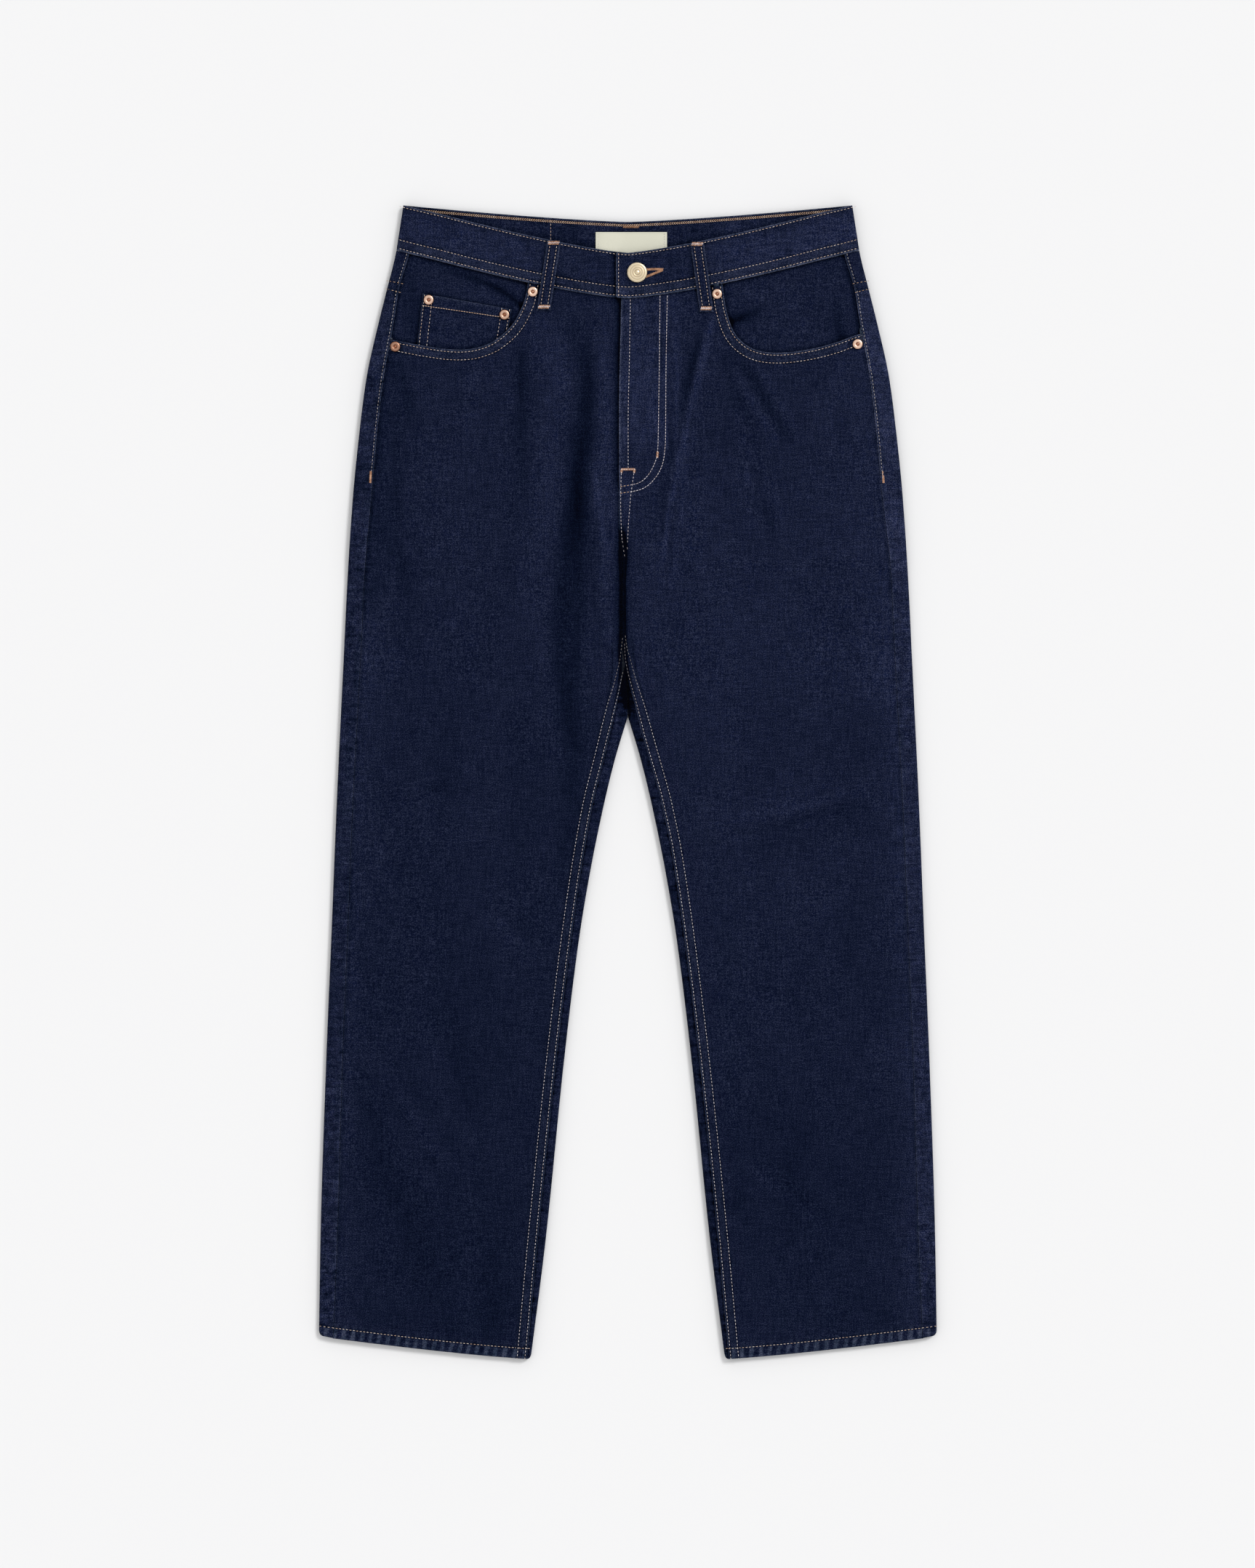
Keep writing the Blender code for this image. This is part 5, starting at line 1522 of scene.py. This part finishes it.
# stitching
def stitchTree():
    tree = bpy.data.node_groups.new("stitch row", "GeometryNodeTree")
    face = tree.interface
    face.new_socket("Geometry", in_out="INPUT", socket_type="NodeSocketGeometry")
    for name, value in (("Pitch", 0.0028), ("Length", 0.0022), ("Width", 0.0007), ("Height", 0.0005),
                        ("Turn", 0.0), ("Unevenness", 0.08)):
        face.new_socket(name, in_out="INPUT", socket_type="NodeSocketFloat").default_value = value
    face.new_socket("Seed", in_out="INPUT", socket_type="NodeSocketInt").default_value = 1
    face.new_socket("Thread", in_out="INPUT", socket_type="NodeSocketMaterial")
    face.new_socket("Geometry", in_out="OUTPUT", socket_type="NodeSocketGeometry")
    source, target = tree.nodes.new("NodeGroupInput"), tree.nodes.new("NodeGroupOutput")
    given = source.outputs
    line = addNode(tree, "GeometryNodeMeshToCurve", None, Mesh=given["Geometry"])
    dots = addNode(tree, "GeometryNodeResampleCurve", {"mode": "LENGTH"}, Curve=line.outputs[0],
                   Length=given["Pitch"])
    grain = addNode(tree, "GeometryNodeMeshUVSphere", None, Segments=6, Rings=4, Radius=0.5)
    size = addNode(tree, "ShaderNodeCombineXYZ", None, X=given["Length"], Y=given["Width"], Z=given["Height"])
    # the ball is drawn out to a grain with blunt ends
    upright = addNode(tree, "GeometryNodeTransform", None, Geometry=grain.outputs["Mesh"],
                      Rotation=(0.0, math.pi / 2, 0.0))
    position = tree.nodes.new("GeometryNodeInputPosition").outputs[0]
    x, y, z = addNode(tree, "ShaderNodeSeparateXYZ", None, Vector=position).outputs
    reach = reckon(tree, "POWER", times(tree, reckon(tree, "ABSOLUTE", x), 2.0), 0.45)
    blunt = times(tree, times(tree, reach, 0.5), reckon(tree, "SIGN", x))
    moved = addNode(tree, "ShaderNodeCombineXYZ", None, X=blunt, Y=y, Z=z)
    bluntGrain = addNode(tree, "GeometryNodeSetPosition", None, Geometry=upright.outputs[0],
                         Position=moved.outputs[0])
    shaped = addNode(tree, "GeometryNodeTransform", None, Geometry=bluntGrain.outputs[0],
                     Scale=size.outputs[0])
    rounded = addNode(tree, "GeometryNodeSetShadeSmooth", None, Geometry=shaped.outputs[0])
    tangent = tree.nodes.new("GeometryNodeInputTangent")
    turned = addNode(tree, "FunctionNodeAlignRotationToVector", {"axis": "X", "pivot_axis": "Z"},
                     Vector=tangent.outputs[0])
    low = reckon(tree, "SUBTRACT", given["Turn"], given["Unevenness"])
    high = plus(tree, given["Turn"], given["Unevenness"])
    chance = addNode(tree, "FunctionNodeRandomValue", {"data_type": "FLOAT"}, i2=low, i3=high,
                     Seed=given["Seed"])
    spin = addNode(tree, "ShaderNodeCombineXYZ", None, Z=chance.outputs[1])
    asRotation = addNode(tree, "FunctionNodeEulerToRotation", None, Euler=spin.outputs[0])
    both = addNode(tree, "FunctionNodeRotateRotation", {"rotation_space": "LOCAL"},
                   Rotation=turned.outputs[0], i1=asRotation.outputs[0])
    placed = addNode(tree, "GeometryNodeInstanceOnPoints", None, Points=dots.outputs[0],
                     Instance=rounded.outputs[0], Rotation=both.outputs[0])
    real = addNode(tree, "GeometryNodeRealizeInstances", None, Geometry=placed.outputs[0])
    coloured = addNode(tree, "GeometryNodeSetMaterial", None, Geometry=real.outputs[0],
                       Material=given["Thread"])
    tree.links.new(coloured.outputs[0], target.inputs[0])
    return tree


stitchGroup = stitchTree()


def sewRows(name, paths, thread, slotName="denim", **sizes):
    # each path, a list of x, h and z, becomes a row of stitches
    points, edges = [], []
    for path in paths:
        first = len(points)
        points += [(x, h - jeans["length"] / 2, z) for x, h, z in path]
        edges += [(first + i, first + i + 1) for i in range(len(path) - 1)]
    mesh = bpy.data.meshes.new(name)
    mesh.from_pydata(points, edges, [])
    obj = newObject(name, mesh)
    sewing = obj.modifiers.new("stitches", "NODES")
    sewing.node_group = stitchGroup
    items = stitchGroup.interface.items_tree
    sockets = {item.name: item.identifier for item in items if item.in_out == "INPUT"}
    for key, value in {**sizes, "Thread": thread}.items():
        sewing[sockets[key]] = value
    bpy.context.view_layer.update()
    graph = bpy.context.evaluated_depsgraph_get()
    made = bpy.data.meshes.new_from_object(obj.evaluated_get(graph), depsgraph=graph)
    obj.modifiers.clear()
    obj.data = made
    made.name = name
    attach(obj, "root")
    print(name, len(made.polygons), "faces")


def onSurface(path, level, lift=0.0001):
    path = np.asarray(path)
    z = level(path[:, 0], path[:, 1]) + lift
    return np.column_stack([path[:, :2], z])


def line(*points):
    return evenly(np.array(points), 0.004)


def onSides(x, h):
    return topSurface(x, h) + sideRelief(x, h, 1.0)


def onFront(side, path, lift=0.0001):
    # points read off the front, as they show, laid on the panel
    path = np.asarray(path)
    x, h = path[:, 0], path[:, 1]
    return np.column_stack([path[:, :2], frontLevel(side, x - leanOf(side, x, h), h) + lift])


creamPaths, peachPaths, sidePaths, barPaths = [], [], [], []

# inseams, which run together at the crotch, and side seams with a bar at their foot
crotchRows = {
    -1: [[(-0.0161, 0.5643), (-0.0117, 0.5821), (-0.0077, 0.5983), (-0.0057, 0.6085), (-0.0046, 0.6126)],
         [(-0.0234, 0.5643), (-0.0183, 0.5841), (-0.0138, 0.5983), (-0.0102, 0.6115), (-0.0073, 0.6237),
          (-0.0060, 0.6330), (-0.0048, 0.6430)]],
    1: [[(0.0132, 0.5643), (0.0081, 0.5841), (0.0035, 0.6003), (0.0000, 0.6136), (-0.0021, 0.6247),
         (-0.0030, 0.6379)],
        [(0.0205, 0.5643), (0.0147, 0.5841), (0.0106, 0.5963), (0.0060, 0.6105), (0.0020, 0.6258),
         (-0.0008, 0.6349), (-0.0022, 0.6451)]],
}
for side in (-1, 1):
    h = np.linspace(0.0005, 0.560, 200)
    for offset, upper in zip(frontForm["inseamRows"], crotchRows[side]):
        x = side * (inseamEdge(h) + offset)
        low = np.column_stack([x + leanOf(side, x, h), h])
        path = np.vstack([low, throughPoints(upper, 8)])
        creamPaths.append(onFront(side, evenly(path, 0.0028)))
    h = np.linspace(0.787, 0.986, 80)
    path = onSurface(np.column_stack([side * (sideSeam(h) + 0.0021), h]), onSides)
    path[:, 0] = drawnIn(path[:, 0], path[:, 1])
    sidePaths.append(path)
    foot = -0.2300 if side < 0 else 0.2283
    barPaths.append(onSurface(line((foot, 0.7825), (foot - side * 0.0005, 0.7925)), onSides, 0.0003))

# hems, on the front and underneath
for side in (-1, 1):
    a = np.linspace(0.0905, 0.2632, 90)
    path = np.column_stack([side * a, hemLine(a) + frontForm["hemRow"]])
    peachPaths.append(onSurface(path, lambda x, y, s=side: frontLevel(s, x, y)))
    for a in (np.linspace(0.2636, 0.2745, 12), np.linspace(0.0884, 0.0902, 4)):
        path = np.column_stack([side * a, hemLine(a) + frontForm["hemRow"]])
        peachPaths.append(onSurface(path, topSurface))
    a = np.linspace(0.0900, 0.2735, 90)
    path = np.column_stack([side * a, hemLine(a) + frontForm["hemRow"]])
    creamPaths.append(np.column_stack([path, np.full(len(path), 0.0002)]))

# pocket mouths
for side in (-1, 1):
    for offset in frontForm["mouthRows"]:
        path = beside(mouthPath(side), side * -offset)
        belowBand = path[:, 1] < frontUpper(path[:, 0]) - 0.001
        path = path[belowBand & (np.abs(path[:, 0]) < sideSeam(path[:, 1]) - 0.001)]
        path = onSurface(path, lambda x, y, s=side, d=offset: mouthLevel(s, x, y, d + 0 * x, x + y))
        path[:, 0] = drawnIn(path[:, 0], path[:, 1])
        peachPaths.append(path)

# fly
flyRows = {
    "edge": [(0.0023, 0.9450), (0.0013, 0.8890), (0.0003, 0.8440), (0.0003, 0.7960)],
    "inner": [(0.0287, 0.9484), (0.0281, 0.8888), (0.0272, 0.8290), (0.0262, 0.8081), (0.0224, 0.7963),
              (0.0165, 0.7873), (0.0090, 0.7820), (-0.0059, 0.7790)],
    "outer": [(0.0352, 0.9484), (0.0341, 0.8888), (0.0337, 0.8290), (0.0332, 0.8141), (0.0314, 0.8007),
              (0.0270, 0.7903), (0.0195, 0.7813), (0.0105, 0.7761), (-0.0059, 0.7731)],
    "crotchRight": [(0.0057, 0.7932), (0.0027, 0.7718), (0.0015, 0.7581), (0.0005, 0.7456), (-0.0001, 0.7332),
                    (-0.0005, 0.7240)],
    "crotchLeft": [(-0.0058, 0.7932), (-0.0064, 0.7718), (-0.0062, 0.7521), (-0.0055, 0.7354),
                   (-0.0044, 0.7267), (-0.0030, 0.7176)],
}
flyPaths, flyEnds, barTops = [], [], []
for name, row in flyRows.items():
    path = evenly(throughPoints(row, 10), 0.003)
    path = path[path[:, 1] < frontUpper(path[:, 0]) - 0.0005]
    path = onFront(1, path, 0.00015)
    if name.startswith("crotch"):
        creamPaths.append(path[path[:, 1] > 0.732])
        sidePaths.append(path[path[:, 1] < 0.731])
    elif name == "edge":
        creamPaths.append(path)
    else:
        ending = (path[:, 0] < 0.0025) & (path[:, 1] < 0.80)
        flyPaths.append(path[~ending])
        flyEnds.append(path[ending])
for ends in (((-0.0056, 0.7943), (0.0060, 0.7943)), ((-0.0056, 0.7943), (-0.0058, 0.7915)),
             ((0.0060, 0.7943), (0.0056, 0.7915)), ((0.0262, 0.8050), (0.0266, 0.8100))):
    path = onSurface(line(*ends), lambda x, y: frontLevel(1, x, y), 0.0003)
    barPaths.append(path)
    barTops.append(path + (0, 0, 0.0003))

# coin pocket
for across in (0.022, 0.110, 1 - 0.022, 1 - 0.110):
    u, v = np.full(16, across), np.linspace(0.10, 0.97, 16)
    point = coinPoint(u, v)
    z = coinLevel(point[:, 0], point[:, 1], u, v) + 0.0001
    peachPaths.append(np.column_stack([point, z]))
u, v = np.linspace(0.02, 0.98, 30), np.full(30, 1 - coinForm["topRow"] / coinForm["height"])
point = coinPoint(u, v)
coinRow = [np.column_stack([point, coinLevel(point[:, 0], point[:, 1], u, v) + 0.0001])]

# waistband, front rows
bandPaths = []
for low, high, step in ((-0.2030, -0.0125, 0), (-0.0083, 0.2030, 1)):
    x = np.linspace(low, high, 100)
    bottom, top = bandFrontBottom(x), bandFrontTop(x)
    level = bandLevel(x) if step else levels["bandFront"] + 0 * x
    z = level - (level - 0.0045) * rounding((sideFold(bottom) - np.abs(x)) / 0.003) + 0.0001
    bandPaths += [np.column_stack([x, bottom + offset, z]) for offset in bandForm["lowerRows"]]
    peachPaths.append(np.column_stack([x, top - bandForm["upperRow"], z]))
endX = levels["overlapX"] + bandForm["endRow"]
h = np.linspace(float(bandFrontBottom(endX)) + 0.0022, float(bandFrontTop(endX)) - 0.0024, 24)
bandPaths.append(np.column_stack([np.full(24, endX), h, np.full(24, float(bandLevel(endX)) + 0.0001)]))
# a short join on the waistband's inner side
joinX = -0.0689
h = np.linspace(0.985, float(bandBackTop(joinX)) - 0.003, 12)
level = levels["bandBack"] + jeans["band"] + 0.0001
bandPaths.append(np.column_stack([np.full(12, joinX), h, np.full(12, level)]))

# belt loops
loopBars = []
for ends in frontLoops.values():
    share = np.linspace(0.03, 0.945, 30)
    for across in (-1, 1):
        row = across * loopForm["rowOffset"] * 2 / loopForm["width"]
        x, h, z = loopAt(ends, row + 0 * share, share)
        bandPaths.append(np.column_stack([x, h, z + 0.0001]))
    for share in (0.018, 0.950):
        across = np.linspace(-0.74, 0.74, 8)
        x, h, z = loopAt(ends, across, share + 0 * across)
        loopBars.append(np.column_stack([x, h, z + 0.0004]))

# yokes at the sides
yokeRows = []
for side in (-1, 1):
    for start, end in (((0.2016, 0.9602), (0.2148, 0.9628)), ((0.2038, 0.9524), (0.2155, 0.9556))):
        path = line((side * start[0], start[1]), (side * end[0], end[1]))
        yokeRows.append(onSurface(path, topSurface, 0.0005))

plain = {"Pitch": 0.0031, "Length": 0.0019, "Width": 0.00050, "Height": 0.00048}
sewRows("creamStitches", creamPaths, creamThread, Seed=3, **plain)
# the side seams and the crotch rows' lower ends in the darker thread, painted shade
sewRows("sideStitches", sidePaths, shadedCreamThread, Seed=29, **plain)
sewRows("bandStitches", bandPaths, peachThread, Seed=5, **plain)
sewRows("peachStitches", peachPaths, peachThread, Seed=7, **plain)
sewRows("yokeRows", yokeRows, tanThread, Seed=27, **plain)
sewRows("coinRow", coinRow, tanThread, Seed=23, Pitch=0.0023, Length=0.0019, Width=0.00062, Height=0.0005)
sewRows("bartacks", barPaths, orangeThread, Seed=9, Pitch=0.00048, Length=0.0021, Width=0.00062,
        Height=0.0006, Turn=1.40, Unevenness=0.10)
sewRows("loopBartacks", loopBars, orangeThread, Seed=25, Pitch=0.00066, Length=0.0037, Width=0.00070,
        Height=0.0005, Turn=1.35, Unevenness=0.20)
loopTops = [bar + (0, 0, 0.0003) for bar in loopBars]
sewRows("loopBartackTops", loopTops, creamThread, Seed=31, Pitch=0.00150, Length=0.0019, Width=0.00080,
        Height=0.0006, Turn=0.75, Unevenness=0.35)
sewRows("bartackTops", barTops, creamThread, Seed=33, Pitch=0.0021, Length=0.0013, Width=0.00070,
        Height=0.0006, Turn=0.30, Unevenness=0.30)
sewRows("flyStitches", flyPaths, creamThread, Seed=35, Pitch=0.0027, Length=0.0021, Width=0.00055,
        Height=0.00050)
sewRows("flyEndStitches", flyEnds, tanThread, Seed=37, Pitch=0.0022, Length=0.0019, Width=0.00062,
        Height=0.00055)

# the chain stitch inside the back of the waistband: two rows that lean towards each other
x = np.linspace(-0.1975, 0.1975, 180)
for name, drop, seed, turn in (("backChainUpper", 0.0026, 11, 0.45), ("backChainLower", 0.0037, 13, -0.45)):
    path = np.column_stack([x, bandBackTop(x) - drop, np.full(180, levels["bandBack"] + 0.0024)])
    sewRows(name, [path], tanThread, Seed=seed, Pitch=0.0020, Length=0.0020, Width=0.00066, Height=0.0007,
            Turn=turn, Unevenness=0.05)
bar = np.column_stack([np.linspace(-0.0036, 0.0094, 6), np.full(6, 1.0111), np.full(6, 0.0041)])
sewRows("backLoopBartack", [bar], brownThread, Seed=15, Pitch=0.0010, Length=0.0026, Width=0.0007,
        Height=0.0006, Turn=1.15, Unevenness=0.25)

# buttonhole: two sewn lips that meet at a point
lips = [line((0.0165, 0.9725), (0.0240, 0.9729), (0.0312, 0.9726)),
        line((0.0165, 0.9662), (0.0240, 0.9692), (0.0312, 0.9722))]
lipPaths = [np.column_stack([lip, bandLevel(lip[:, 0]) + 0.0002]) for lip in lips]
sewRows("buttonhole", lipPaths, brownThread, Seed=17, Pitch=0.00060, Length=0.0025, Width=0.0007,
        Height=0.0007, Turn=1.15, Unevenness=0.16)
ends = [line((x, 0.9890), (x, 1.0045)) for x in (labelForm["left"] + 0.0022, labelForm["right"] - 0.0022)]
sewRows("labelStitches", [np.column_stack([end, np.full(len(end), 0.0050)]) for end in ends], creamThread,
        slotName="label cloth", Seed=19, Pitch=0.0022, Length=0.0014, Width=0.0004, Height=0.0004)

# underneath: yokes, back pockets, the seat seam, the waistband and the back loops
underPaths = []
pocketOutline = np.array(backPocket["outline"])
pocketTop = pocketOutline[0, 1]
for side in (-1, 1):
    a = np.linspace(0.002, 0.205, 70)
    for offset in (0.0020, 0.0085):
        underPaths.append(onSurface(np.column_stack([side * a, yokeLower(a) + offset]), baseLevel, 0.0))
    rings = [[(-0.072, pocketTop - 0.015), (0.072, pocketTop - 0.015)]]
    for inset in (0.0088, 0.0022):
        ring = pocketOutline * (1 - inset / 0.068, 1 - inset / 0.080)
        ring[[0, 4], 1] = pocketTop - 0.001
        rings.insert(0, ring)
    for ring in rings:
        path = evenly(np.array(ring), 0.004)
        x, h = pocketPoint(side, path[:, 0], path[:, 1])
        underPaths.append(np.column_stack([x, h, np.full(len(x), 0.0001)]))
for offset in (0.0020, 0.0085):
    h = np.linspace(0.645, 0.893, 80)
    underPaths.append(onSurface(np.column_stack([offset + 0 * h, h]), baseLevel, 0.0))
x = np.linspace(-0.198, 0.198, 130)
for h in (bandBackBottom(x) + 0.0022, bandBackBottom(x) + 0.0092, bandBackTop(x) - 0.0024):
    underPaths.append(np.column_stack([x, h, np.full(130, levels["bandBack"])]))
for middle in backLoops.values():
    top = float(bandBackTop(middle)) - 0.001
    for across in (-1, 1):
        h = np.linspace(top - 0.057, top - 0.002, 16)
        row = middle + across * loopForm["rowOffset"]
        underPaths.append(np.column_stack([np.full(16, row), h, np.full(16, 0.0001)]))
sewRows("underStitches", underPaths, creamThread, Seed=21, **plain)
print("stitching done")


# floor, light and camera
studio = {
    "floor": (0.90, 0.90, 0.905), "floorLevel": -0.0004, "world": 0.735,
    "keyFrom": (1.0, 0.9, 1.35), "keyStrength": 1.30, "keySoftness": 16,
    "distance": 6.0, "pictureHeight": 1.4014, "sensor": 36.0, "centre": (-0.0003, -0.00165),
}
floorMesh = bpy.data.meshes.new("floor")
floorMesh.from_pydata([(-6, -6, 0), (6, -6, 0), (6, 6, 0), (-6, 6, 0)], [], [(0, 1, 2, 3)])
floorPaper = bpy.data.materials.new("floor paper")
floorPaper.use_nodes = True
paperShader = floorPaper.node_tree.nodes["Principled BSDF"]
paperShader.inputs["Base Color"].default_value = (*studio["floor"], 1)
paperShader.inputs["Roughness"].default_value = 0.9
floorMesh.materials.append(floorPaper)
floor = newObject("floor", floorMesh)
floor.location.z = studio["floorLevel"]

world = bpy.data.worlds.new("studio")
world.use_nodes = True
background = world.node_tree.nodes["Background"]
background.inputs["Color"].default_value = (1, 1, 1, 1)
background.inputs["Strength"].default_value = studio["world"]
bpy.context.scene.world = world
keyLight = bpy.data.lights.new("key", "SUN")
keyLight.angle = math.radians(studio["keySoftness"])
keyLight.energy = studio["keyStrength"]
key = newObject("key", keyLight)
key.location = studio["keyFrom"]
key.rotation_euler = Vector(studio["keyFrom"]).to_track_quat("Z", "Y").to_euler()

cameraData = bpy.data.cameras.new("camera")
cameraData.sensor_width = studio["sensor"]
cameraData.lens = studio["sensor"] * studio["distance"] / studio["pictureHeight"]
camera = newObject("camera", cameraData)
camera.location = (*studio["centre"], studio["distance"])
bpy.context.scene.camera = camera
bpy.context.scene.view_settings.view_transform = "Standard"
print("studio ready")
